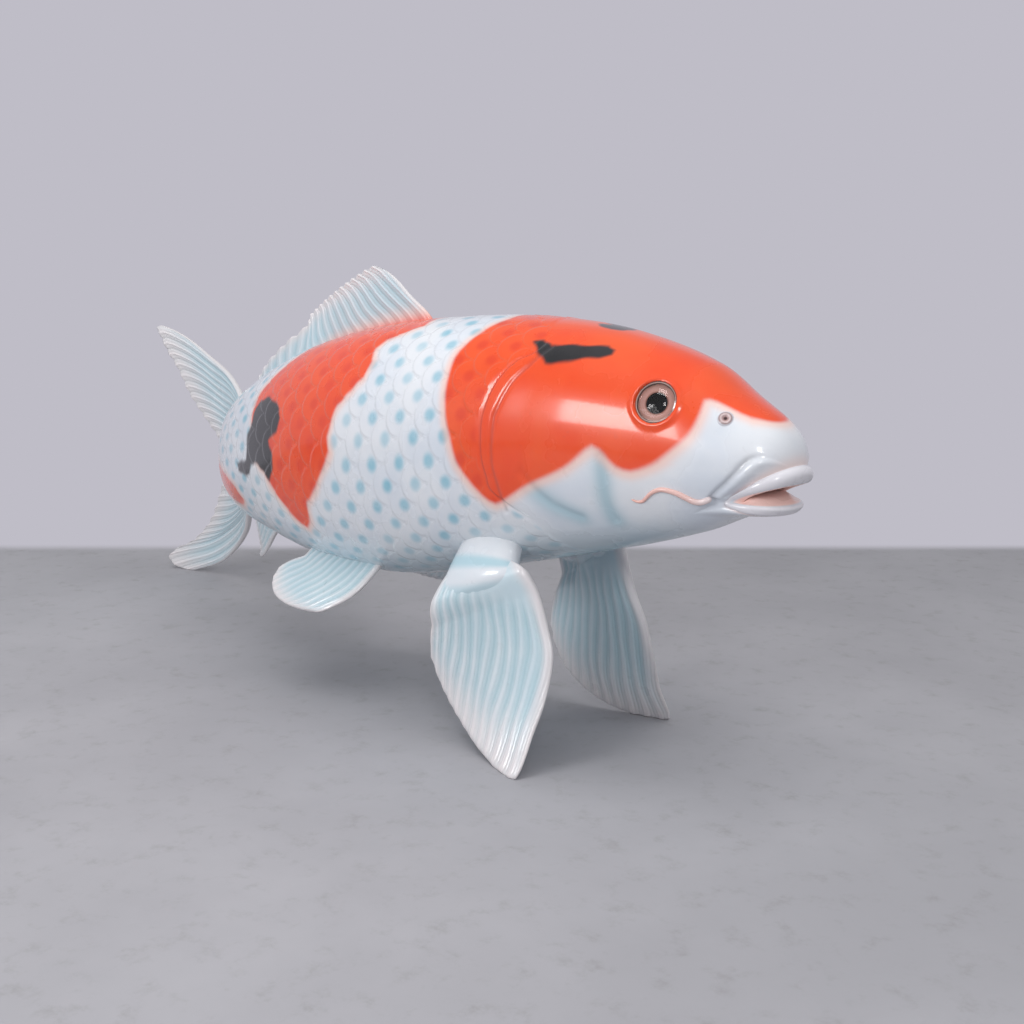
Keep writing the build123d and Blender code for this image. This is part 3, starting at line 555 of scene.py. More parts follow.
def add_piece(name, points, quads, triangles, material, slot, nodes, normals=None, layers=None, lattice=None):
    """Put a worked-out surface into a mesh object that rides on the figure."""
    def flat(values, width):
        return np.ascontiguousarray(values.reshape(-1, width), np.float32)

    points = flat(points, 3)
    quads = np.asarray(quads, np.int32).reshape(-1, 4)
    triangles = np.asarray(triangles, np.int32).reshape(-1, 3)
    if normals is None:
        fans = [quads[:, (0, 1, 2)], quads[:, (0, 2, 3)], triangles]
        a, b, c = (np.concatenate([fan[:, k] for fan in fans]) for k in range(3))
        centre = points.mean(0)
        volume = ((points[a] - centre) * np.cross(points[b] - centre, points[c] - centre)).sum()
        if volume < 0:
            quads, triangles = quads[:, ::-1], triangles[:, ::-1]
    loops = np.concatenate([quads.ravel(), triangles.ravel()]).astype(np.int32)
    starts = np.concatenate([np.arange(len(quads)) * 4, len(quads) * 4 + np.arange(len(triangles)) * 3])
    mesh = bpy.data.meshes.new(name)
    mesh.vertices.add(len(points))
    mesh.vertices.foreach_set("co", points.ravel())
    mesh.loops.add(len(loops))
    mesh.loops.foreach_set("vertex_index", loops)
    mesh.polygons.add(len(starts))
    mesh.polygons.foreach_set("loop_start", starts.astype(np.int32))
    mesh.polygons.foreach_set("use_smooth", np.ones(len(starts), bool))
    mesh.update(calc_edges=True)
    if mesh.validate():
        raise RuntimeError(f"{name} has faces that aren't sound")
    for layer, values in (layers or {}).items():
        attribute = mesh.color_attributes.new(layer, "FLOAT_COLOR", "POINT")
        attribute.data.foreach_set("color", flat(values, 4).ravel())
    if lattice is not None:
        plan = mesh.uv_layers.new(name="lattice")
        plan.data.foreach_set("uv", flat(lattice, 2)[loops].ravel())
    if normals is not None:
        mesh.normals_split_custom_set_from_vertices(np.asarray(normals, float).reshape(-1, 3).tolist())
    mesh.materials.append(material)
    piece = add_object(name, mesh)
    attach(piece, "root")
    if nodes:
        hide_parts(*nodes)
    return piece


def capped_tube(rows):
    """Quads and end fans of a tube given as rows of points; returns its points with the poles added."""
    count, around = rows.shape[:2]
    points = np.vstack([rows.reshape(-1, 3), rows[0].mean(0), rows[-1].mean(0)])
    column = np.arange(around)
    after, last = (column + 1) % around, (count - 1) * around
    first_pole, last_pole = np.full((2, around), ((count * around,), (count * around + 1,)))
    triangles = np.vstack([
        np.stack([first_pole, after, column], -1),
        np.stack([last_pole, last + column, last + after], -1),
    ])
    return points, grid_faces(count, around, True), triangles


def tube_layer(along, around):
    """Colour layer of a capped tube, with the place along it at each of its rows and poles in the red."""
    along = np.concatenate([np.repeat(along, around), along[[0, -1]]])
    return {"radial": np.stack([along, 0 * along, 0 * along, 1 + 0 * along], -1)}


def closed_sheet(front, back):
    """Two facing grids joined round their border into one closed thin piece."""
    rows, across = front.shape[:2]
    size = rows * across
    faces = grid_faces(rows, across, False)
    index = np.arange(size).reshape(rows, across)
    border = np.concatenate([index[0, :-1], index[:-1, -1], index[-1, :0:-1], index[:0:-1, 0]])
    after = np.roll(border, -1)
    rim = np.stack([border, border + size, after + size, after], -1)
    points = np.vstack([front.reshape(-1, 3), back.reshape(-1, 3)])
    return points, np.vstack([faces, faces[:, ::-1] + size, rim])


def resample(line, count):
    """Evenly spaced points along a smooth line through the listed ones."""
    line = np.asarray(line, float)
    reach = np.concatenate([[0], np.cumsum(np.linalg.norm(np.diff(line, axis=0), axis=1))])
    fine = smooth(np.linspace(0, reach[-1], 60 * len(line)), reach, line)
    run = np.concatenate([[0], np.cumsum(np.linalg.norm(np.diff(fine, axis=0), axis=1))])
    even = np.linspace(0, run[-1], count)
    return np.stack([np.interp(even, run, fine[:, axis]) for axis in range(line.shape[1])], -1)


def even_places(line, count, unit):
    """Evenly spaced points of a line in two measures, the unit giving the size of each in metres."""
    return resample(np.array(line) * unit, count) / unit


def fan(lead, rear, root, margin):
    """Fin grid between four lines of points: rows run from root to margin, columns from lead to rear.

    Each point is the straight filling both ways less the straight filling of the corners.
    """
    rows, across = len(lead), len(root)
    v, q = np.linspace(0, 1, rows)[:, None, None], np.linspace(0, 1, across)[None, :, None]
    lead, rear, root, margin = lead[:, None], rear[:, None], root[None], margin[None]
    corners = (1 - v) * ((1 - q) * lead[:1] + q * rear[:1]) + v * ((1 - q) * lead[-1:] + q * rear[-1:])
    return (1 - q) * lead + q * rear + (1 - v) * root + v * margin - corners


def outline_grid(rows, across, lead, rear, root, margin):
    """Fin grid with its four lines given by a few listed points each."""
    return fan(resample(lead, rows), resample(rear, rows), resample(root, across), resample(margin, across))


def rays(q, v, count, wave, fine):
    """Fin rays: narrow ridges between broad hollows, each with finer ones, swaying a little on their way."""
    place = q * count + wave * np.sin(v * 5.2 + q * 3.0) + 0.35 * wave * np.sin(v * 13 + q * 17)
    main = (1 - np.abs(2 * np.mod(place, 1) - 1)) ** 1.3
    sub = 1 - np.abs(2 * np.mod(place * fine, 1) - 1) ** 2
    return main, sub


floor_gap = 0.0004  # lowest that a fin's surface comes
edge_half = 0.0006  # half the thickness of a fin's very edge


def fin_piece(
    name, middle, half, round_size, ridge, count, wave, fine, material, node, floor=False, begin=0.0, lump=0.0
):
    """A rayed fin on a grid: its middle surface, thickened, rounded at its edges and ridged on both faces.

    A lump is a swelling of one face alone: of the back where it is positive, else of the front.
    """
    rows, across = middle.shape[:2]
    v, q = np.linspace(0, 1, rows)[:, None], np.linspace(0, 1, across)[None]
    normal = grid_normals(middle, False)
    width = np.linalg.norm(np.diff(middle, axis=1), axis=-1)
    width = np.concatenate([np.zeros((rows, 1)), np.cumsum(width, 1)], 1)
    length = np.linalg.norm(np.diff(middle, axis=0), axis=-1)
    length = np.concatenate([np.zeros((1, across)), np.cumsum(length, 0)], 0)
    edge = np.minimum(np.minimum(width, width[:, -1:] - width), length[-1:] - length)
    part = np.clip(edge / round_size, 0, 1)
    body = np.sqrt(part * (2 - part))
    main, sub = rays(q, v, count, wave, fine)
    shown = step_up(v, begin, begin + 0.12)
    lift = ridge * (main - 0.4 + (0.12 + 0.3 * v) * sub) * shown * (0.25 + 0.75 * body)
    solid = edge_half + (np.broadcast_to(half, (rows, across)) - edge_half) * body
    solid = np.maximum(solid + lift, edge_half)[..., None]
    lump = np.broadcast_to(lump, (rows, across))[..., None]
    front = middle + normal * (solid + np.maximum(-lump, 0))
    back = middle - normal * (solid + np.maximum(lump, 0))
    if floor:
        for face in (front, back):
            face[..., 2] = np.maximum(face[..., 2], floor_gap)
    groove = np.clip(1 - main - 0.2 * v * sub, 0, 1) * shown
    near_edge = 1 - step_up(edge, 0.0, 2.4 * round_size)
    colour = np.stack([groove, v + 0 * q, near_edge, q + 0 * v], -1)
    points, quads = closed_sheet(front, back)
    layers = {"ray": np.concatenate([colour.reshape(-1, 4)] * 2)}
    return add_piece(name, points, quads, [], material, "fin_paint", [node], layers=layers)


# Breast fins: outline as (share of the span down from the root, share of it forward)
breast_lead = (
    (-0.16, 0.20), (-0.06, 0.285), (0.02, 0.318), (0.12, 0.322), (0.30, 0.306), (0.43, 0.296),
    (0.53, 0.264), (0.67, 0.199), (0.81, 0.116), (0.96, 0.048), (1.0, 0.014),
)
breast_margin = (
    (1.0, 0.014), (0.996, -0.033), (0.95, -0.105), (0.90, -0.173), (0.76, -0.312), (0.575, -0.42),
    (0.40, -0.464), (0.25, -0.452),
)
breast_rear = (
    (-0.26, -0.02), (-0.2, -0.10), (-0.12, -0.19), (-0.02, -0.26), (0.07, -0.325), (0.14, -0.385),
    (0.25, -0.452),
)
breast_root = ((-0.16, 0.20), (-0.22, 0.10), (-0.26, -0.02))
# Where the blade is thicker on its inner face over the steel rod: shares down, line of it, height in metres
rod_stages = (-0.12, -0.08, -0.05, -0.02, 0.02, 0.055, 0.07, 0.09, 0.12, 0.16, 0.2)
rod_line = (0.02, 0.02, 0.015, 0.015, 0.012, 0.01, -0.005, -0.018, -0.045, -0.066, -0.09)
rod_lump = (0.004, 0.0075, 0.0115, 0.014, 0.014, 0.0125, 0.0108, 0.008, 0.0048, 0.002, 0.0)


def breast_frame(turn):
    """Lines of a breast fin's middle surface down its span: middle, chord and dish, with its face."""
    plan = np.array(axis_plan(breast_place_share))
    centre = np.array([plan[0], plan[1], float(axis_height(breast_place_share))])
    floor = centre * (1, 1, 0)
    root = centre + (breast_root_ahead, turn * breast_root_out, -breast_root_drop)
    outer = centre + (shoulder_ahead, turn * shoulder_out, -shoulder_drop)
    inner = centre + (shoulder_inner_ahead, turn * shoulder_inner_out, -shoulder_inner_drop)
    tip_out = turn * (breast_tip_out - turn * breast_out_step)
    span = floor + (breast_tip_ahead + turn * breast_side_step, tip_out, 0) - root
    length = np.linalg.norm(span)
    chord = np.array([-span[2], 0, span[0]]) / np.hypot(span[2], span[0])
    normal = np.cross(span, chord) * -turn
    normal = normal / np.linalg.norm(normal)
    way = (outer - inner) / np.linalg.norm(outer - inner)
    face = np.cross(way, (1.0, 0, 0)) * -turn
    u = np.array([0, 0.12, 0.25, 0.4, 0.55, 0.7, 0.85, 1.0])[:, None]
    middle = root + span * u - normal * (length * 0.48) * u * (1 - u)
    across = chord * length - normal * (length * 0.232) * (1 - u)
    dish = -normal * (length * 0.038) + 0 * u
    places = np.concatenate([[-0.45, -0.21], u[:, 0]])
    middle = np.vstack([inner, outer, middle])
    across = np.vstack([[length, 0, 0], [length, 0, 0], across])
    dish = np.vstack([np.zeros((2, 3)), dish])
    faces = np.vstack([face, face, normal + 0 * u])
    return places, middle, across, dish, faces


def breast_surface(turn, u, w):
    """Point of a breast fin's middle surface: middle line plus chord and dish at each share of the span."""
    places, middle, across, dish, faces = breast_frame(turn)
    w = np.asarray(w)[..., None]
    point = smooth(u, places, middle) + smooth(u, places, across) * w + smooth(u, places, dish) * w * w
    return point, smooth(u, places, faces)


shoulder_stages = (0, 0.3, 0.55, 0.8, 1)  # places down the shoulder of the rows below
shoulder_down = (-0.45, -0.21, -0.10, 0.0, 0.09)  # share of the span
shoulder_front = (0.14, 0.20, 0.24, 0.235, 0.14)
shoulder_back = (-0.16, -0.20, -0.215, -0.225, -0.16)
shoulder_half = (0.024, 0.0245, 0.0215, 0.0122, 0.0015)  # metres
blade_stages, blade_half = (-0.3, 0, 0.25, 0.6, 1), (0.010, 0.0085, 0.0062, 0.0042, 0.003)


def make_breast_fin(word, turn, materials):
    """Rayed blade and the fleshy shoulder that carries it: a tube of flattened rings into the flank."""
    grid = outline_grid(150, 300, breast_lead, breast_rear, breast_root, breast_margin)
    u, w = grid[..., 0], grid[..., 1]
    middle, faces = breast_surface(turn, u, w)
    half = smooth(np.clip(u, -0.3, 1), blade_stages, blade_half)
    near_rod = np.clip(u, rod_stages[0], rod_stages[-1])
    lump = smooth(near_rod, rod_stages, rod_lump) * hump(w - smooth(near_rod, rod_stages, rod_line), 0.07)
    fin_piece(
        f"breast_fin_blade_{word}", middle, half, 0.010, 0.0022, 11.5, 0.22, 4,
        materials["fin"], f"breast_fin_{word}", floor=True, begin=0.25,
        lump=lump * np.sign((grid_normals(middle, False) * faces).sum(-1)),
    )
    rows, around = 90, 120
    places = np.linspace(0, 1, rows)
    u, front, back, thick = (
        smooth(places, shoulder_stages, values)[:, None]
        for values in (shoulder_down, shoulder_front, shoulder_back, shoulder_half)
    )
    angle = np.linspace(0, 2 * np.pi, around, endpoint=False)[None]
    bulge = np.sign(np.sin(angle)) * np.abs(np.sin(angle)) ** 0.9
    w = (front + back) / 2 + (front - back) / 2 * np.cos(angle)
    point, face = breast_surface(turn, u + 0.2 * w * step_up(places, 0.3, 0.9)[:, None], w)
    add_piece(
        f"breast_fin_shoulder_{word}", *capped_tube(point + face * (bulge * thick)[..., None]),
        materials["shoulder"], "fin_paint", [], layers=tube_layer(places, around),
    )


# Belly fins: outline in metres forward of and outwards from the root's middle
belly_lead = (
    (0.087, -0.02), (0.0875, 0.0), (0.087, 0.016), (0.084, 0.040), (0.074, 0.066), (0.055, 0.087),
    (0.035, 0.102), (0.013, 0.106),
)
belly_margin = (
    (0.013, 0.106), (-0.017, 0.107), (-0.054, 0.104), (-0.092, 0.093), (-0.120, 0.073),
    (-0.130, 0.054), (-0.127, 0.037),
)
belly_rear = ((-0.087, -0.02), (-0.088, 0.0), (-0.089, 0.012), (-0.111, 0.024), (-0.127, 0.037))
belly_root = ((0.087, -0.02), (0.0, -0.02), (-0.087, -0.02))
belly_fin_share, belly_fin_degrees, belly_fin_droop = 0.549, -63.0, radians(35)


def make_belly_fin(word, turn, materials):
    """Flat fan from the belly, drooping outwards and bowed by the squares of its two measures."""
    rows, share, degrees = 90, belly_fin_share, belly_fin_degrees
    base = ring(share, degrees if turn < 0 else 180 - degrees)
    heading = float(heading_at(share))
    forward = np.array([cos(heading), sin(heading), 0])
    aside = np.array([-sin(heading), cos(heading), 0]) * turn
    low, level = sin(belly_fin_droop), cos(belly_fin_droop)
    outward, normal = aside * level - UP * low, aside * low + UP * level
    grid = outline_grid(rows, 220, belly_lead, belly_rear, belly_root, belly_margin)
    x, y = grid[..., :1], grid[..., 1:]
    bow = -0.009 * (y / 0.107) ** 2 - 0.006 * (x / 0.13) ** 2 * np.clip(y / 0.05, 0, 1)
    middle = base + forward * x + outward * y + normal * bow
    half = 0.0042 - 0.0018 * np.linspace(0, 1, rows)[:, None]
    fin_piece(
        f"belly_fin_rayed_{word}", middle, half, 0.005, 0.0016, 11, 0.12, 3,
        materials["fin"], f"belly_fin_{word}",
    )


def upright(share, height):
    """Points over the axis at a share of the body and a height."""
    return np.stack([*axis_plan(share), height], -1)


dorsal_lead = ((-0.005, -0.35), (0.0, 0.0), (0.087, 0.406), (0.184, 0.87), (0.233, 1.0))
dorsal_front_margin = ((0.233, 1.0), (0.287, 0.971), (0.45, 0.797), (0.566, 0.652))
dorsal_back_margin = ((0.566, 0.652), (0.60, 0.50), (0.72, 0.45), (0.90, 0.31), (1.0, 0.12))
dorsal_rear = ((0.985, -0.35), (0.995, -0.1), (1.0, 0.12))
dorsal_root = ((-0.005, -0.35), (0.5, -0.35), (0.985, -0.35))
dorsal_share, dorsal_length, dorsal_height = 0.451, 0.528, 0.099


def make_dorsal_fin(materials):
    """Upright fin over the crest, its height shares nicked between the ray tips."""
    rows, across = 110, 420
    margin = np.vstack([resample(dorsal_front_margin, 240), resample(dorsal_back_margin, 181)[1:]])
    lead, rear = resample(dorsal_lead, rows), resample(dorsal_rear, rows)
    grid = fan(lead, rear, resample(dorsal_root, across), margin)
    place = np.linspace(0, 1, across)[None]
    part = np.linspace(0, 1, rows)[:, None]
    nick = 0.045 * np.abs(2 * np.mod(place * 20, 1) - 1) ** 2 * step_up(part, 0.7, 1.0)
    share = dorsal_share + grid[..., 0] * dorsal_length / body_length
    crest = axis_height(share) + half_sizes(share)[0]
    middle = upright(share, crest + (grid[..., 1] - nick) * dorsal_height)
    half = 0.0042 - 0.0019 * part
    fin_piece(
        "dorsal_fin_rayed", middle, half, 0.004, 0.0016, 20, 0.10, 3,
        materials["dorsal"], "dorsal_fin",
    )


anal_lead = ((0.0, -0.35), (0.0, 0.0), (0.18, 0.35), (0.40, 0.72), (0.62, 0.97), (0.70, 1.0))
anal_margin = (
    (0.70, 1.0), (0.675, 0.90), (0.66, 0.80), (0.70, 0.60), (0.78, 0.42), (0.90, 0.18), (1.0, 0.02),
)
anal_rear = ((0.98, -0.35), (0.99, -0.15), (1.0, 0.02))
anal_root = ((0.0, -0.35), (0.5, -0.35), (0.98, -0.35))
anal_share, anal_length, anal_height = 0.75, 0.157, 0.086


def make_anal_fin(materials):
    """Upright fin under the keel."""
    rows = 80
    grid = outline_grid(rows, 140, anal_lead, anal_rear, anal_root, anal_margin)
    share = anal_share + grid[..., 0] * anal_length / body_length
    keel = axis_height(share) - half_sizes(share)[1]
    middle = upright(share, keel - grid[..., 1] * anal_height)
    half = 0.0042 - 0.0017 * np.linspace(0, 1, rows)[:, None]
    fin_piece("anal_fin_rayed", middle, half, 0.004, 0.0015, 8, 0.10, 3, materials["fin"], "anal_fin")


tail_lead = (
    (-0.10, 0.24), (-0.06, 0.27), (0.20, 0.50), (0.398, 0.646), (0.582, 0.758), (0.80, 0.92), (0.96, 1.0),
    (1.0, 0.985),
)
tail_upper_margin = (
    (1.0, 0.985), (0.94, 0.80), (0.87, 0.655), (0.78, 0.43), (0.66, 0.245), (0.54, 0.10), (0.40, -0.085),
)
tail_lower_margin = (
    (0.40, -0.085), (0.524, -0.297), (0.644, -0.563), (0.80, -0.75), (0.95, -0.85), (0.99, -0.92),
    (0.95, -0.975), (0.87, -1.0), (0.80, -1.0),
)
tail_low_lead = (
    (-0.10, -0.28), (-0.06, -0.31), (0.05, -0.42), (0.155, -0.55), (0.374, -0.746), (0.555, -0.888),
    (0.80, -1.0),
)


def make_tail_fin(materials):
    """Upright tail along the axis; below the axis its height is a share of the way to the floor."""
    rows, across = 170, 440
    margin = np.vstack([resample(tail_upper_margin, 220), resample(tail_lower_margin, 221)[1:]])
    root = resample((tail_lead[0], tail_low_lead[0]), across)
    grid = fan(resample(tail_lead, rows), resample(tail_low_lead, rows), root, margin)
    place, part = np.linspace(0, 1, across)[None], np.linspace(0, 1, rows)[:, None]
    nick = 0.012 * np.abs(2 * np.mod(place * 26, 1) - 1) ** 2 * step_up(part, 0.8, 1.0)
    nick = nick * step_up(place, 0.01, 0.05) * (1 - step_up(place, 0.90, 0.96))
    share = 1 + (grid[..., 0] - nick) * tail_length / body_length
    root_height = float(axis_height(1.0))
    height = root_height + grid[..., 1] * np.where(grid[..., 1] > 0, tail_rise, root_height)
    middle = upright(share, height)
    half = 0.0057 - 0.0025 * part
    fin_piece(
        "tail_fin_rayed", middle, half, 0.005, 0.0018, 26, 0.14, 3,
        materials["fin"], "tail_fin", floor=True,
    )


eye_radius = 0.025  # of the ring's outer edge, before it is swelled


def make_turned(name, profile, centre, out, material, slot, nodes, count=96, swell=1.0):
    """A profile of (radius, height) pairs in millimetres carried once round an axis."""
    profile = resample(np.array(profile) / 1000, 60)
    first = np.cross(out, UP)
    first = first / np.linalg.norm(first)
    second = np.cross(out, first)
    turn = np.linspace(0, 2 * np.pi, count, endpoint=False)[None, :, None]
    radius, height = profile[:, :1, None], profile[:, 1:, None]
    rows = centre + radius * (first * np.cos(turn) + second * np.sin(turn)) + height * out
    layers = tube_layer(profile[:, 0] / eye_radius / swell, count)
    return add_piece(name, *capped_tube(rows), material, slot, nodes, layers=layers)


# Eye profiles from the middle outwards, or from the rim back, in millimetres
eye_profiles = {
    "bezel": (
        (21.9, -9), (21.9, -2.4), (22.1, -0.8), (22.7, 0.1), (23.3, -0.5), (23.7, -0.7), (24.2, 0.2),
        (24.7, 0.1), (25.0, -0.9), (25.0, -9), (24.5, -15),
    ),
    "disc": (
        (0.05, -6.5), (12.6, -6.5), (13.2, -6.2), (13.8, -6.1), (18, -5.6), (20.8, -5.4), (21.4, -5.8),
        (21.4, -7.8), (12, -8), (0.05, -8),
    ),
    "dome": (
        (0.05, 7.6), (4, 7.4), (8, 6.7), (12, 5.3), (16, 3.1), (19, 0.6), (20.9, -1.9), (21.3, -3.4),
        (20.4, -4.1), (14, -4.6), (0.05, -4.8),
    ),
}


def make_eyes(materials):
    """Ring, iris disc and glass dome of both eyes, turned about each eye's outward direction."""
    parts = (("bezel", "bezel", "eye_ring"), ("disc", "iris", "eye_iris"), ("dome", "glass", "eye_glass"))
    for word, place, out in eye_places():
        for part, finish, node in parts:
            make_turned(
                f"eye_{part}_{word}", np.array(eye_profiles[part]) * (eye_swell, 1), place, out,
                materials[finish], node, [f"{node}_{word}"], swell=eye_swell,
            )


def on_skin(skin, share, bearing, left):
    """Place and outward direction on the finished skin: a weighted mean of its nearest points."""
    side = (np.cos(np.radians(ring_degrees)) < 0)[None] == left
    top, low, wide = half_sizes(max(share, 0.03))
    unit = np.radians(1) * (wide + (top if bearing > 0 else low)) / 2
    gap = np.hypot((skin["share"] - share) * body_length, (skin["bearing"] - bearing) * unit)
    free = np.broadcast_to(side, gap.shape) & (skin["detail"][..., 2] < 0.5)
    weight = np.where(free, hump(gap, 0.0025), 0)
    total = weight.sum() + 1e-30
    place = (skin["points"] * weight[..., None]).sum((0, 1)) / total
    out = (skin["normals"] * weight[..., None]).sum((0, 1))
    return place, out / np.linalg.norm(out)


nostril_profile = (
    (0.05, 0.3), (2.6, 0.4), (3.8, 0.9), (5.0, 1.6), (6.4, 1.8), (8.0, 1.2), (10.0, -0.2), (11.5, -2.2),
)
nostril_share, nostril_degrees = 0.0575, 44


def make_nostrils(skin, materials):
    """A small turned rim on each side of the muzzle."""
    for word in ("right", "left"):
        place, out = on_skin(skin, nostril_share, nostril_degrees, word == "left")
        make_turned(
            f"nostril_{word}", nostril_profile, place, out, materials["nostril"], "body_paint", [], count=48
        )


barbel_line = (
    (0.0640, -31.8), (0.0764, -31.5), (0.0843, -26.2), (0.0927, -21.0), (0.1053, -18.0), (0.115, -20.2),
    (0.1271, -27.0), (0.1357, -24.8),
)
barbel_thickness = 0.0065
barbel_rounds = (0.62, 0.62, 0.58, 0.53, 0.47, 0.40, 0.33, 0.16)
barbel_unit = (body_length, 0.0016)  # metres along and around the cheek


def make_barbels(skin, materials):
    """Tapered wavy tubes half sunk in the cheeks: circles square to a smooth line along the skin."""
    places, fine, around = np.linspace(0, 1, 16), np.linspace(0, 1, 160), 28
    ends = np.clip(np.minimum(fine, 1 - fine) / 0.035, 0, 1)
    size = smooth(fine, np.linspace(0, 1, 8), barbel_rounds) * (0.1 + 0.9 * np.sqrt(ends * (2 - ends)))
    turn = np.linspace(0, 2 * np.pi, around, endpoint=False)[None, :, None]
    for word in ("right", "left"):
        line = even_places(barbel_line, 16, barbel_unit)
        found = [on_skin(skin, share, bearing, word == "left") for share, bearing in line]
        centre = smooth(fine, places, [place + out * 0.0008 for place, out in found])
        out = smooth(fine, places, [out for place, out in found])
        way = np.gradient(centre, axis=0)
        way = way / np.linalg.norm(way, axis=1, keepdims=True)
        out = out - way * (out * way).sum(1, keepdims=True)
        out = out / np.linalg.norm(out, axis=1, keepdims=True)
        circle = np.cross(way, out)[:, None] * np.cos(turn) + out[:, None] * np.sin(turn)
        rows = centre[:, None] + circle * size[:, None, None] * barbel_thickness
        add_piece(
            f"barbel_raised_{word}", *capped_tube(rows), materials["barbel"], "barbel_paint",
            [f"barbel_{word}"], layers=tube_layer(fine, around),
        )


# Pieces of the skin: name, stretch of rows, first and last column, slot and CAD nodes
right_columns, left_columns = (-120, 121), (120, 361)
skin_cuts = (
    ("koi_muzzle_and_lips", "head", (0, columns), "lip_paint", ("mouth_casting", "throat_cup")),
    ("koi_flank_front_right", "front", right_columns, "body_paint", ("body_shell_right",)),
    ("koi_flank_rear_right", "rear", right_columns, "body_paint", ("body_shell_right",)),
    ("koi_flank_front_left", "front", left_columns, "body_paint", ("body_shell_left",)),
    ("koi_flank_rear_left", "rear", left_columns, "body_paint", ("body_shell_left",)),
)


def make_skin(skin, materials):
    """Cut the one skin into a muzzle and four flank pieces that share their border points and normals."""
    total = len(skin["points"])
    head_rows = lip_rows - 1 + muzzle_rows + 8
    middle = head_rows + (total - head_rows) // 2
    stretches = {"head": (0, head_rows), "front": (head_rows - 1, middle), "rear": (middle - 1, total)}
    for name, stretch, ends, slot, nodes in skin_cuts:
        first, last = stretches[stretch]
        picked = np.arange(*ends) % columns
        across = len(picked)
        parts = {
            key: skin[key][first:last][:, picked].reshape((last - first) * across, -1)
            for key in ("points", "normals", "lattice", "paint", "detail")
        }
        triangles = []
        if stretch != "front":
            at_head = stretch == "head"
            column = np.arange(across if at_head else across - 1)
            after = (column + 1) % across
            row = 0 if at_head else (last - first - 1) * across
            corners = [np.full(len(column), len(parts["points"])), row + after, row + column]
            triangles = np.stack(corners if at_head else corners[::-1], -1)
            # The pole takes the mean place of its whole ring, and the paint of the nearest corner
            pole = {key: values[:1] if at_head else values[-1:] for key, values in parts.items()}
            pole["points"] = skin["points"][0 if at_head else -1].mean(0)
            pole["normals"] = AHEAD if at_head else -AHEAD
            pole["lattice"] = parts["lattice"][-1:]
            parts = {key: np.vstack([values, pole[key]]) for key, values in parts.items()}
        add_piece(
            name, parts["points"], grid_faces(last - first, across, stretch == "head"), triangles,
            materials["skin"], slot, nodes, normals=parts["normals"],
            layers={key: parts[key] for key in ("paint", "detail")}, lattice=parts["lattice"],
        )


def screen(*values):
    """Linear colour of a colour written as a screen shows it, 0 to 255."""
    shown = np.array(values) / 255
    linear = np.where(shown <= 0.04045, shown / 12.92, ((shown + 0.055) / 1.055) ** 2.4)
    return (*linear.tolist(), 1.0)


class Nodes:
    """Adds and joins the shader nodes of one material or group."""

    def __init__(self, tree):
        self.tree = tree

    def feed(self, socket, value):
        if isinstance(value, bpy.types.NodeSocket):
            self.tree.links.new(value, socket)
        else:
            socket.default_value = value

    def add(self, kind, inputs=None, **settings):
        node = self.tree.nodes.new(kind)
        for name, value in settings.items():
            setattr(node, name, value)
        for name, value in (inputs or {}).items():
            self.feed(node.inputs[name], value)
        return node

    def math(self, operation, *values):
        node = self.add("ShaderNodeMath", operation=operation)
        for socket, value in zip(node.inputs, values):
            self.feed(socket, value)
        return node.outputs[0]

    def times(self, first, second):
        return self.math("MULTIPLY", first, second)

    def mix(self, factor, first, second):
        """Colour between two others; sockets 6, 7 and output 2 are the node's colour ones."""
        node = self.add("ShaderNodeMix", data_type="RGBA", clamp_factor=True)
        for socket, value in ((0, factor), (6, first), (7, second)):
            self.feed(node.inputs[socket], value)
        return node.outputs[2]

    def step(self, value, low, high, start=0.0, end=1.0):
        """Smooth S from start at the low value to end at the high one."""
        inputs = {"Value": value, "From Min": low, "From Max": high, "To Min": start, "To Max": end}
        return self.add("ShaderNodeMapRange", inputs, interpolation_type="SMOOTHSTEP").outputs[0]

    def noise(self, vector, scale, detail=3.0, rough=0.5):
        inputs = {"Vector": vector, "Scale": scale, "Detail": detail, "Roughness": rough}
        return self.add("ShaderNodeTexNoise", inputs).outputs["Fac"]

    def layer(self, name):
        """The four channels of a colour layer of the mesh."""
        attribute = self.add("ShaderNodeAttribute", attribute_name=name)
        split = self.add("ShaderNodeSeparateColor", {"Color": attribute.outputs["Color"]})
        return [*split.outputs[:3], attribute.outputs["Alpha"]]

    def place(self):
        return self.add("ShaderNodeTexCoord").outputs["Object"]


def new_material(name, **settings):
    """A material with its Principled shader; returns the material, its nodes and the shader."""
    material = bpy.data.materials.new(name)
    material.use_nodes = True
    material.node_tree.nodes.clear()
    nodes = Nodes(material.node_tree)
    shader = nodes.add("ShaderNodeBsdfPrincipled")
    output = nodes.add("ShaderNodeOutputMaterial")
    nodes.tree.links.new(shader.outputs[0], output.inputs[0])
    for socket, value in settings.items():
        shader.inputs[socket.replace("_", " ")].default_value = value
    return material, nodes, shader


def cover(nodes, shader, colour, rough, height, distance, strength):
    """Feed a shader with its colour and roughness, and with a bump where the height changes."""
    node = nodes.add("ShaderNodeBump", {"Height": height, "Distance": distance, "Strength": strength})
    for name, value in (("Base Color", colour), ("Roughness", rough), ("Normal", node.outputs[0])):
        if value is not None:
            nodes.feed(shader.inputs[name], value)


def new_group(name, *outputs):
    """A node group that takes a vector and gives the named values."""
    group = bpy.data.node_groups.new(name, "ShaderNodeTree")
    group.interface.new_socket("Vector", in_out="INPUT", socket_type="NodeSocketVector")
    for label in outputs:
        group.interface.new_socket(label, in_out="OUTPUT", socket_type="NodeSocketFloat")
    nodes = Nodes(group)
    return group, nodes, nodes.add("NodeGroupInput"), nodes.add("NodeGroupOutput")


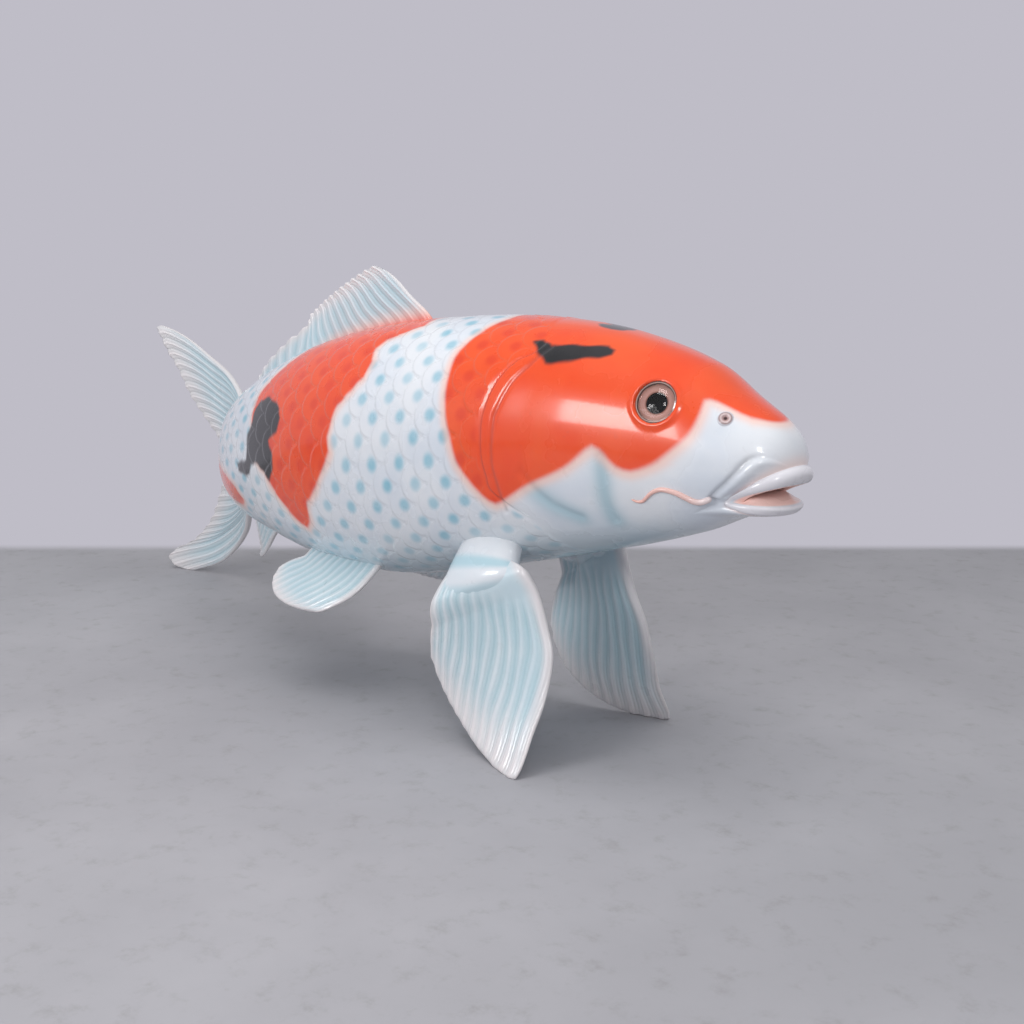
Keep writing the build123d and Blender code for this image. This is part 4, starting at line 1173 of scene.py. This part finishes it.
def scale_group():
    """Overlapping discs on the scale map: the spot in the middle of the disc that shows, and its rear rim."""
    group, nodes, given, result = new_group("Fish scales", "Spot", "Rim")
    split = nodes.add("ShaderNodeSeparateXYZ", {"Vector": given.outputs[0]})
    along, around = split.outputs[:2]
    whole = nodes.math("FLOOR", around)
    found = []
    for step in (0.0, 1.0):
        row = nodes.math("ADD", whole, step)
        shift = nodes.math("SUBTRACT", 1.0, nodes.math("FLOORED_MODULO", row, 2.0))
        x = nodes.math("SUBTRACT", nodes.times(along, 2.0), shift)
        x = nodes.math("SUBTRACT", nodes.math("FLOORED_MODULO", nodes.math("ADD", x, 1.0), 2.0), 1.0)
        y = nodes.math("SUBTRACT", around, row)
        away = nodes.math("SQRT", nodes.math("ADD", nodes.times(x, x), nodes.times(y, y)))
        off = nodes.math("GREATER_THAN", away, 1.0)
        found.append((x, away, nodes.math("SUBTRACT", x, nodes.times(off, 9.0))))
    second = nodes.math("GREATER_THAN", found[1][2], found[0][2])
    x, away = (
        nodes.math("ADD", before, nodes.times(nodes.math("SUBTRACT", after, before), second))
        for before, after in zip(found[0][:2], found[1][:2])
    )
    nodes.feed(result.inputs[0], nodes.step(away, 0.50, 0.13))
    nodes.feed(result.inputs[1], nodes.times(nodes.step(away, 0.86, 0.985), nodes.step(x, -0.1, 0.25)))
    return group


def mottle_group():
    """Hand-sprayed unevenness and fine orange peel of clear-coated paint."""
    group, nodes, given, result = new_group("Sprayed paint", "Cloud", "Fine", "Peel")
    for socket, sizes in zip(result.inputs, ((9.0, 4.0, 0.55), (70.0, 5.0, 0.6), (420.0, 2.0, 0.5))):
        nodes.feed(socket, nodes.noise(given.outputs[0], *sizes))
    return group


def shared_group(nodes, maker, name, vector):
    """Outputs of a node group, which is made the first time that it is asked for."""
    node = nodes.add("ShaderNodeGroup", node_tree=bpy.data.node_groups.get(name) or maker())
    nodes.feed(node.inputs[0], vector)
    return node.outputs


def sprayed(nodes):
    """The cloud, fine and peel values of sprayed paint at places on the figure."""
    return shared_group(nodes, mottle_group, "Sprayed paint", nodes.place())


def skin_material(name, palette):
    """Paint of the body: spotted white under orange and dark patches, with the lips and the throat."""
    material, nodes, shader = new_material(
        name, Coat_Weight=0.7, Coat_Roughness=0.09, Coat_IOR=1.5, IOR=1.5,
    )
    orange, dark, fringe, shade = nodes.layer("paint")
    scaled, crease, lip, inside = nodes.layer("detail")
    lattice = nodes.add("ShaderNodeUVMap", uv_map="lattice").outputs[0]
    spot, rim = (
        nodes.times(value, scaled) for value in shared_group(nodes, scale_group, "Fish scales", lattice)
    )
    cloud, fine, peel = sprayed(nodes)
    uneven = nodes.step(cloud, 0.3, 0.7, 0.45, 1.0)
    pale = nodes.mix(nodes.step(cloud, 0.35, 0.7), palette["white"], screen(214, 221, 231))
    pale = nodes.mix(nodes.times(spot, nodes.times(uneven, 0.95)), pale, palette["spot"])
    # Painted shade of the folds and underside, partly a sprayed blue-grey tint
    pale = nodes.mix(nodes.times(shade, 0.8), pale, palette["shade"])
    pale = nodes.mix(nodes.times(fringe, 0.6), pale, palette["fringe"])
    warm = nodes.mix(nodes.step(cloud, 0.3, 0.72), palette["orange"], screen(240, 86, 30))
    warm = nodes.mix(nodes.times(nodes.times(spot, uneven), 0.6), warm, palette["deep"])
    # Painted highlight: lighter orange along each scale's raised rear rim
    warm = nodes.mix(nodes.times(rim, 0.14), warm, screen(250, 130, 84))
    colour = nodes.mix(orange, pale, warm)
    black = nodes.mix(nodes.step(cloud, 0.3, 0.75), palette["dark"], screen(44, 43, 46))
    colour = nodes.mix(dark, colour, black)
    # Painted shade: darker in the gill and cheek grooves and along each scale's incised rear rim
    groove_rim_shade = nodes.times(nodes.math("MAXIMUM", crease, nodes.times(rim, 0.22)), 0.40)
    colour = nodes.mix(groove_rim_shade, colour, nodes.mix(0.62, colour, screen(84, 76, 84)))
    colour = nodes.mix(nodes.times(lip, nodes.step(inside, 0.0, 0.02, 1.0, 0.0)), colour, palette["lip"])
    # The inner lip's pink is lighter than its paint: painted light against the shade under the upper lip
    flesh = nodes.mix(nodes.step(inside, 0.55, 0.95), screen(255, 222, 214), palette["throat"])
    colour = nodes.mix(nodes.step(inside, 0.02, 0.14), colour, flesh)
    colour = nodes.mix(nodes.step(fine, 0.62, 0.8, 0.0, 0.10), colour, screen(120, 110, 108))
    height = nodes.math("ADD", nodes.times(rim, -0.22), nodes.times(fine, 0.08))
    height = nodes.math("ADD", height, nodes.times(peel, 0.03))
    cover(nodes, shader, colour, nodes.step(cloud, 0.25, 0.75, 0.20, 0.34), height, 0.001, 0.7)
    return material


def worn_paint(nodes, shader, colour, cloud, fine, peel, rough, bumps, strength):
    """Finish a painted piece: specks of wear over its colour, its roughness and its fine bumps."""
    colour = nodes.mix(nodes.step(fine, 0.62, 0.8, 0.0, 0.12), colour, screen(120, 112, 110))
    height = nodes.math("ADD", nodes.times(fine, bumps[0]), nodes.times(peel, bumps[1]))
    cover(nodes, shader, colour, nodes.step(cloud, 0.25, 0.75, *rough), height, 0.001, strength)


def fin_material(name, palette, flame=False):
    """Painted fin: pale ridges, blue grooves, a rosy rim, and where asked an orange fade from the base."""
    material, nodes, shader = new_material(name, Coat_Weight=0.6, Coat_Roughness=0.12, IOR=1.5)
    groove, down, near_edge, place = nodes.layer("ray")
    cloud, fine, peel = sprayed(nodes)
    colour = nodes.mix(nodes.step(cloud, 0.3, 0.7), palette["fin"], screen(206, 220, 228))
    wash = nodes.times(nodes.step(down, 0.95, 0.25), nodes.step(place, 1.0, 0.35))
    wash = nodes.times(wash, nodes.step(cloud, 0.25, 0.6, 0.35, 0.8))
    colour = nodes.mix(nodes.times(wash, 0.35), colour, palette["fin_blue"])
    colour = nodes.mix(nodes.times(groove, 0.75), colour, palette["fin_groove"])
    tip = nodes.times(nodes.step(down, 0.72, 1.0), 0.6)
    colour = nodes.mix(nodes.math("MAXIMUM", tip, nodes.times(near_edge, 0.65)), colour, palette["fin_rim"])
    if flame:
        fade = nodes.times(nodes.step(down, 0.52, 0.16), nodes.step(place, 0.97, 0.5))
        warm = nodes.mix(nodes.step(down, 0.4, 0.2), palette["fringe"], palette["orange"])
        colour = nodes.mix(fade, colour, warm)
    worn_paint(nodes, shader, colour, cloud, fine, peel, (0.24, 0.40), (0.35, 0.12), 0.7)
    return material


def shoulder_material(name, palette):
    """White paint with a sprayed band across the foot of the shoulder."""
    material, nodes, shader = new_material(name, Coat_Weight=0.7, Coat_Roughness=0.1, IOR=1.5)
    cloud, fine, peel = sprayed(nodes)
    colour = nodes.mix(nodes.step(cloud, 0.3, 0.7), palette["white"], screen(218, 226, 233))
    down = nodes.layer("radial")[0]
    foot = nodes.times(nodes.step(down, 0.36, 0.46, 0.0, 0.8), nodes.step(down, 0.60, 0.50))
    foot = nodes.math("MAXIMUM", foot, nodes.step(down, 0.72, 0.84, 0.0, 0.6))
    colour = nodes.mix(foot, colour, palette["fin_blue"])
    worn_paint(nodes, shader, colour, cloud, fine, peel, (0.2, 0.35), (0.25, 0.08), 0.6)
    return material


def radial_material(name, stops, rough, coat=0.4):
    """Colour by distance from the middle of a turned piece, with fine streaks that follow its radius."""
    shine = 0.5 if coat else 0.0
    material, nodes, shader = new_material(
        name, Coat_Weight=coat, Coat_Roughness=0.08, Specular_IOR_Level=shine
    )
    radius = nodes.layer("radial")[0]
    inner, colour = stops[0]
    for (low, before), (high, after) in zip(stops[:-1], stops[1:]):
        colour = nodes.mix(nodes.step(radius, low, high), colour, after)
    streak = nodes.noise(nodes.place(), 900.0, 3.0, 0.6)
    veined = nodes.times(nodes.step(streak, 0.45, 0.75, 0.0, 0.3), nodes.step(radius, inner, inner + 0.1))
    colour = nodes.mix(veined, colour, nodes.mix(0.5, colour, screen(236, 208, 196)))
    cover(nodes, shader, colour, nodes.step(streak, 0.2, 0.8, rough, rough + 0.12), streak, 0.0001, 0.3)
    return material


def glass_material(name):
    material, nodes, shader = new_material(
        name, Roughness=0.0, IOR=1.36, Transmission_Weight=1.0, Coat_Weight=0.0
    )
    smear = nodes.noise(nodes.place(), 160.0, 4.0, 0.6)
    colour = nodes.mix(nodes.step(smear, 0.5, 0.8, 0.0, 0.3), (1, 1, 1, 1), screen(236, 240, 244))
    nodes.feed(shader.inputs["Base Color"], colour)
    return material


def steel_material(name):
    material, nodes, shader = new_material(name, Metallic=1.0)
    place = nodes.place()
    cloud, fine = nodes.noise(place, 30.0, 5.0, 0.6), nodes.noise(place, 300.0, 3.0, 0.6)
    colour = nodes.mix(nodes.step(cloud, 0.35, 0.7), screen(168, 172, 176), screen(132, 136, 142))
    cover(nodes, shader, colour, nodes.step(cloud, 0.3, 0.7, 0.34, 0.52), fine, 0.0004, 0.4)
    return material


def laminate_material(name):
    """Glass-fibre laminate: crossed strands under cloudy resin."""
    material, nodes, shader = new_material(name, Coat_Weight=0.2, Coat_Roughness=0.3)
    place = nodes.place()
    cloud, strand = nodes.noise(place, 18.0, 4.0, 0.6), nodes.noise(place, 260.0, 4.0, 0.7)
    colour = nodes.mix(nodes.step(cloud, 0.3, 0.7), screen(188, 192, 160), screen(206, 204, 176))
    colour = nodes.mix(nodes.step(strand, 0.5, 0.72, 0.0, 0.5), colour, screen(226, 224, 206))
    cover(nodes, shader, colour, nodes.step(strand, 0.3, 0.7, 0.42, 0.6), strand, 0.0008, 0.6)
    return material


def plywood_material(name):
    """Birch face: stretched grain over pale wood."""
    material, nodes, shader = new_material(name)
    stretch = nodes.add("ShaderNodeMapping", {"Vector": nodes.place(), "Scale": (1.0, 1.0, 0.06)}).outputs[0]
    grain, pore = nodes.noise(stretch, 90.0, 6.0, 0.65), nodes.noise(stretch, 700.0, 3.0, 0.5)
    colour = nodes.mix(nodes.step(grain, 0.3, 0.72), screen(214, 184, 142), screen(186, 150, 104))
    colour = nodes.mix(nodes.step(pore, 0.6, 0.8, 0.0, 0.4), colour, screen(140, 104, 68))
    cover(nodes, shader, colour, nodes.step(grain, 0.3, 0.7, 0.55, 0.7), grain, 0.0005, 0.5)
    return material


view_level = (-0.669, 0.743, 0.0)  # the way the camera looks, level
wall_line = 0.90  # how far behind the middle of the figure the wall begins


def stage_material(name, first, second, rough, marks, distant):
    """Plain studio surface that a camera, metal or glass sees as the even backdrop from the wall line on."""
    material, nodes, shader = new_material(name, Roughness=rough)
    place = nodes.place()
    path = nodes.add("ShaderNodeLightPath").outputs
    mirrored = nodes.math("MAXIMUM", path["Is Glossy Ray"], path["Is Transmission Ray"])
    seen = nodes.math("MAXIMUM", path["Is Camera Ray"], mirrored)
    if distant:
        away = nodes.add("ShaderNodeVectorMath", {0: place, 1: view_level}, operation="DOT_PRODUCT")
        seen = nodes.times(seen, nodes.step(away.outputs["Value"], wall_line - 0.02, wall_line + 0.07))
    wall = nodes.add("ShaderNodeEmission", {"Color": screen(191, 189, 199)})
    both = nodes.add("ShaderNodeMixShader", {0: seen, 1: shader.outputs[0], 2: wall.outputs[0]})
    output = next(node for node in nodes.tree.nodes if node.type == "OUTPUT_MATERIAL")
    nodes.tree.links.new(both.outputs[0], output.inputs[0])
    cloud, fine = nodes.noise(place, 1.3, 6.0, 0.6), nodes.noise(place, 26.0, 6.0, 0.7)
    colour = nodes.mix(nodes.step(cloud, 0.3, 0.7), first, second)
    colour = nodes.mix(nodes.step(fine, 0.5, 0.8, 0.0, marks), colour, screen(132, 130, 128))
    cover(nodes, shader, colour, None, fine, 0.0006, 0.25)
    return material


def colour_property(name, description, *shown):
    """Panel colour whose first value is written as a screen shows it."""
    return bpy.props.FloatVectorProperty(
        name=name, description=description, subtype="COLOR", size=3, default=screen(*shown)[:3], min=0, max=1,
    )


class KoiColours(bpy.types.PropertyGroup):
    """Paint colours of the figure."""

    white: colour_property("White", "Ground colour of the body", 228, 231, 236)
    spot: colour_property("Scale spots", "Blue spot in the middle of each pale scale", 128, 188, 208)
    # Shading: partly a sprayed blue-grey tint along the gill folds, partly painted shade in the folds and
    # under the belly and head
    shade: colour_property("Shading", "Sprayed shading along the gill folds and belly", 158, 190, 202)
    fringe: colour_property("Fringe", "Soft rosy border of the orange", 250, 196, 176)
    orange: colour_property("Orange", "Orange of the head and back", 236, 70, 18)
    deep: colour_property("Deep orange", "Spots of the scales in the orange", 214, 42, 16)
    dark: colour_property("Charcoal", "Dark markings", 27, 27, 30)
    lip: colour_property("Lips", "Lips and the groove above them", 226, 224, 230)
    throat: colour_property("Throat", "Inside of the mouth", 96, 34, 28)
    fin: colour_property("Fins", "Ridges of the fins", 224, 231, 236)
    fin_blue: colour_property("Fin wash", "Sprayed blue of the fins", 168, 206, 218)
    fin_groove: colour_property("Fin grooves", "Grooves between the rays", 164, 198, 208)
    fin_rim: colour_property("Fin rims", "Rosy rims and tips of the fins", 238, 222, 220)


class KoiLight(bpy.types.PropertyGroup):
    """Camera and light of the stage."""

    camera_height: bpy.props.FloatProperty(
        name="Camera height", description="Height of the camera above the floor", default=0.667,
        unit="LENGTH", min=0.05, max=4,
    )
    camera_pitch: bpy.props.FloatProperty(
        name="Camera pitch", description="How far the camera looks down", default=radians(10.05),
        subtype="ANGLE", min=-1.5, max=1.5,
    )
    focal_length: bpy.props.FloatProperty(
        name="Focal length", description="Lens in millimetres", default=45.67, min=10, max=300,
    )
    key_power: bpy.props.FloatProperty(
        name="Overhead light", description="Power of the large lamp over the figure", default=50.0,
        unit="POWER", min=0, max=2000,
    )
    side_power: bpy.props.FloatProperty(
        name="Front light", description="Power of the front lamp; the side lamp follows", default=12.0,
        unit="POWER", min=0, max=2000,
    )
    world_level: bpy.props.FloatProperty(
        name="Room light", description="Strength of the even light of the room", default=0.42, min=0, max=4,
    )


def palette_of(context):
    """Paint colours from the panel, with full opacity added."""
    colours = context.scene.koi_colours
    return {name: (*getattr(colours, name), 1.0) for name in KoiColours.__annotations__}


# Turned pieces and barbels: (distance from the middle or along, colour) stops, roughness and clear coat
radial_finishes = {
    "bezel": ("koi_eye_bezel", (
        (0.86, screen(52, 40, 38)), (0.90, screen(196, 168, 158)), (0.945, screen(70, 52, 48)),
        (0.99, screen(120, 92, 84)),
    ), 0.18, 0.4),
    "iris": ("koi_eye_iris", (
        (0.425, (0.0005, 0.0005, 0.0005, 1)), (0.445, screen(150, 100, 86)), (0.52, screen(204, 156, 144)),
        (0.80, screen(196, 148, 136)), (0.86, screen(100, 72, 66)),
    ), 0.5, 0.0),
    # Nostril: the dark middle is painted shade standing for the opening, which the turned rim leaves closed
    "nostril": ("koi_nostril_paint", (
        (0.05, screen(66, 42, 42)), (0.14, screen(176, 144, 142)), (0.22, screen(214, 194, 194)),
        (0.31, screen(158, 136, 136)), (0.37, screen(206, 206, 214)),
    ), 0.24, 0.4),
    "barbel": ("koi_barbel_paint", (
        (0.0, screen(232, 216, 216)), (0.35, screen(234, 194, 186)), (1.0, screen(236, 184, 172)),
    ), 0.22, 0.4),
}
painted_finishes = {
    "skin": ("koi_skin_paint", skin_material, {}),
    "fin": ("koi_fin_paint", fin_material, {}),
    "dorsal": ("koi_back_fin_paint", fin_material, {"flame": True}),
    "shoulder": ("koi_shoulder_paint", shoulder_material, {}),
}
bare_finishes = {
    "glass": ("koi_eye_glass", glass_material),
    "steel": ("koi_spine_steel", steel_material),
    "laminate": ("koi_laminate", laminate_material),
    "plywood": ("koi_plywood", plywood_material),
}


def finish_material(key, context):
    """The material of one finish, made the first time that it is asked for."""
    name, *rest = {**radial_finishes, **painted_finishes, **bare_finishes}[key]
    ready = bpy.data.materials.get(name)
    if ready:
        return ready
    if key in radial_finishes:
        return radial_material(name, *rest)
    if key in painted_finishes:
        maker, settings = rest
        return maker(name, palette_of(context), **settings)
    return rest[0](name)


def finishes(context, *keys):
    """Materials of the asked finishes by key."""
    return {key: finish_material(key, context) for key in keys}


skin_store = {}


def finished_skin():
    """The finished skin's data, worked out once and shared by the pieces that sit on it."""
    if not skin_store:
        skin_store.update(skin_data())
    return skin_store


class KOI_OT_skin(bpy.types.Operator):
    """Make the scaled skin with the muzzle, lips and throat"""

    bl_idname = "koi.skin"
    bl_label = "Skin"

    def execute(self, context):
        make_skin(finished_skin(), finishes(context, "skin"))
        return {"FINISHED"}


class KOI_OT_breast_fins(bpy.types.Operator):
    """Make both breast fins with their fleshy shoulders"""

    bl_idname = "koi.breast_fins"
    bl_label = "Breast fins"

    def execute(self, context):
        for word, turn in (("right", -1), ("left", 1)):
            make_breast_fin(word, turn, finishes(context, "fin", "shoulder"))
        return {"FINISHED"}


class KOI_OT_belly_fins(bpy.types.Operator):
    """Make both belly fins"""

    bl_idname = "koi.belly_fins"
    bl_label = "Belly fins"

    def execute(self, context):
        for word, turn in (("right", -1), ("left", 1)):
            make_belly_fin(word, turn, finishes(context, "fin"))
        return {"FINISHED"}


class KOI_OT_single_fins(bpy.types.Operator):
    """Make the back fin, the anal fin and the tail"""

    bl_idname = "koi.single_fins"
    bl_label = "Back, anal and tail fins"

    def execute(self, context):
        materials = finishes(context, "fin", "dorsal")
        make_dorsal_fin(materials)
        make_anal_fin(materials)
        make_tail_fin(materials)
        return {"FINISHED"}


class KOI_OT_eyes(bpy.types.Operator):
    """Make the rings, iris discs and glass domes of the eyes"""

    bl_idname = "koi.eyes"
    bl_label = "Eyes"

    def execute(self, context):
        make_eyes(finishes(context, "bezel", "iris", "glass"))
        return {"FINISHED"}


class KOI_OT_face(bpy.types.Operator):
    """Make the barbels and the nostrils"""

    bl_idname = "koi.face"
    bl_label = "Barbels and nostrils"

    def execute(self, context):
        materials = finishes(context, "barbel", "nostril")
        make_barbels(finished_skin(), materials)
        make_nostrils(finished_skin(), materials)
        return {"FINISHED"}


def both_sides(*names):
    """Each name for the right side and for the left."""
    return [f"{name}_{word}" for name in names for word in ("right", "left")]


# Finish of every CAD node
inside_finishes = (
    ("steel", ("spine_tube", "tail_rod", *both_sides("breast_fin_rod"))),
    ("laminate", ("seam_tape_back", "seam_tape_belly", *both_sides("body_shell"))),
    ("plywood", ("bulkhead_front", "bulkhead_middle", "bulkhead_rear")),
    ("fin", (*both_sides("breast_fin", "belly_fin"), "anal_fin", "tail_fin")),
    ("dorsal", ("dorsal_fin",)),
    ("skin", ("mouth_casting", "throat_cup")),
    ("barbel", both_sides("barbel")),
    ("bezel", both_sides("eye_ring")),
    ("iris", both_sides("eye_iris")),
    ("glass", both_sides("eye_glass")),
)


class KOI_OT_inside(bpy.types.Operator):
    """Give the steel, laminate and plywood inside the figure their materials"""

    bl_idname = "koi.inside"
    bl_label = "Inside"

    def execute(self, context):
        for key, names in inside_finishes:
            for name in names:
                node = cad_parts[name]
                if not node.material_slots:
                    raise RuntimeError(f"{name} has no material slot")
                for slot in node.material_slots:
                    slot.material = finish_material(key, context)
        return {"FINISHED"}


def lamp(name, place, aim, size, power):
    """Rectangular lamp at a place, turned towards its aim."""
    light = bpy.data.lights.new(name, "AREA")
    light.shape = "RECTANGLE"
    light.size, light.size_y = size
    light.energy = power
    holder = add_object(name, light)
    holder.location = place
    holder.rotation_euler = (Vector(aim) - Vector(place)).to_track_quat("-Z", "Y").to_euler()
    return holder


stage_columns = 160
stage_reach, cove_radius, wall_height = 5.4, 0.3, 4.2
camera_place = (1.6245, -1.4301)  # in plan
camera_shift = -14 / 1024  # of the picture's width
side_lamp_times = 3.0  # power of the side lamp against the front one


def stage_surfaces():
    """Points of the round floor and of the wall that rises from it in a cove, as rows of rings."""
    turn = np.linspace(0, 2 * np.pi, stage_columns, endpoint=False)
    around = np.stack([np.cos(turn), np.sin(turn), 0 * turn], -1)
    inner = stage_reach - cove_radius
    floor = np.linspace(0.02, inner, 24)[:, None, None] * around
    bend = np.radians(np.linspace(0, 90, 12))[:, None, None]
    cove = (inner + cove_radius * np.sin(bend)) * around + UP * cove_radius * (1 - np.cos(bend))
    high = stage_reach * around + UP * np.linspace(cove_radius, wall_height, 8)[:, None, None]
    return floor, np.concatenate([cove, high[1:]])


def stage_piece(name, rows, material, middle):
    """Mesh of one stage surface, seen from inside, with a fan to a middle point where asked."""
    points = rows.reshape(-1, 3)
    faces = grid_faces(len(rows), stage_columns, True)[:, ::-1].tolist()
    if middle:
        points = np.vstack([points, [0, 0, 0]])
        column = np.arange(stage_columns)
        pole = np.full(stage_columns, len(points) - 1)
        faces += np.stack([pole, column, (column + 1) % stage_columns], -1).tolist()
    mesh = bpy.data.meshes.new(name)
    mesh.from_pydata(points.tolist(), [], faces)
    mesh.polygons.foreach_set("use_smooth", np.ones(len(mesh.polygons), bool))
    mesh.materials.append(material)
    piece = add_object(name, mesh)
    return piece


class KOI_OT_stage(bpy.types.Operator):
    """Make the floor, the backdrop, the lamps and the camera"""

    bl_idname = "koi.stage"
    bl_label = "Stage"

    def execute(self, context):
        settings, scene = context.scene.koi_light, context.scene
        grey = stage_material("stage_floor", screen(178, 177, 182), screen(164, 163, 168), 0.75, 0.45, True)
        pale = stage_material("stage_wall", screen(250, 248, 255), screen(245, 243, 254), 0.9, 0.0, False)
        floor, wall = stage_surfaces()
        stage_piece("stage_floor", floor, grey, True)
        backdrop = stage_piece("stage_backdrop", wall, pale, False)
        backdrop.visible_shadow = backdrop.visible_diffuse = False

        world = bpy.data.worlds.new("soft_room")
        scene.world = world
        world.use_nodes = True
        shader = world.node_tree.nodes["Background"]
        shader.inputs["Color"].default_value = screen(250, 251, 255)
        shader.inputs["Strength"].default_value = settings.world_level

        front, side = settings.side_power, side_lamp_times * settings.side_power
        overhead = lamp("lamp_overhead", (0.6, -0.5, 2.9), (0.1, 0.0, 0.3), (3.2, 2.4), settings.key_power)
        overhead.visible_glossy = False
        lamp("lamp_front", (2.3, -1.9, 1.7), (0.5, 0.0, 0.4), (0.4, 0.6), front)
        lamp("lamp_side", (-0.3, -3.3, 1.5), (0.0, 0.0, 0.35), (1.2, 1.0), side)

        camera = bpy.data.cameras.new("photo_camera")
        camera.lens, camera.sensor_width = settings.focal_length, 36.0
        camera.shift_y = camera_shift
        camera.dof.use_dof = False
        camera.clip_end = 60.0
        holder = add_object("photo_camera", camera)
        level = Vector(view_level).normalized()
        way = level * cos(settings.camera_pitch) - Vector((0, 0, sin(settings.camera_pitch)))
        holder.location = (*camera_place, settings.camera_height)
        holder.rotation_euler = way.to_track_quat("-Z", "Y").to_euler()
        scene.camera = holder
        scene.view_settings.view_transform = "Standard"
        return {"FINISHED"}


class KOI_PT_panel(bpy.types.Panel):
    """Settings and steps of the koi figure"""

    bl_label = "Koi figure"
    bl_idname = "KOI_PT_panel"
    bl_space_type = "VIEW_3D"
    bl_region_type = "UI"
    bl_category = "Koi"

    def draw(self, context):
        for settings in (context.scene.koi_colours, context.scene.koi_light):
            box = self.layout.box()
            for name in type(settings).__annotations__:
                box.prop(settings, name)
        for operator in operators:
            self.layout.operator(operator.bl_idname)


operators = (
    KOI_OT_inside, KOI_OT_skin, KOI_OT_breast_fins, KOI_OT_belly_fins, KOI_OT_single_fins, KOI_OT_eyes,
    KOI_OT_face, KOI_OT_stage,
)
classes = (KoiColours, KoiLight, *operators, KOI_PT_panel)


def register():
    for each in classes:
        bpy.utils.register_class(each)
    bpy.types.Scene.koi_colours = bpy.props.PointerProperty(type=KoiColours)
    bpy.types.Scene.koi_light = bpy.props.PointerProperty(type=KoiLight)


def unregister():
    del bpy.types.Scene.koi_light
    del bpy.types.Scene.koi_colours
    for each in reversed(classes):
        bpy.utils.unregister_class(each)


def main():
    register()
    for operator in operators:
        group, name = operator.bl_idname.split(".")
        getattr(getattr(bpy.ops, group), name)()
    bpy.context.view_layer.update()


if __name__ == "__main__":
    main()
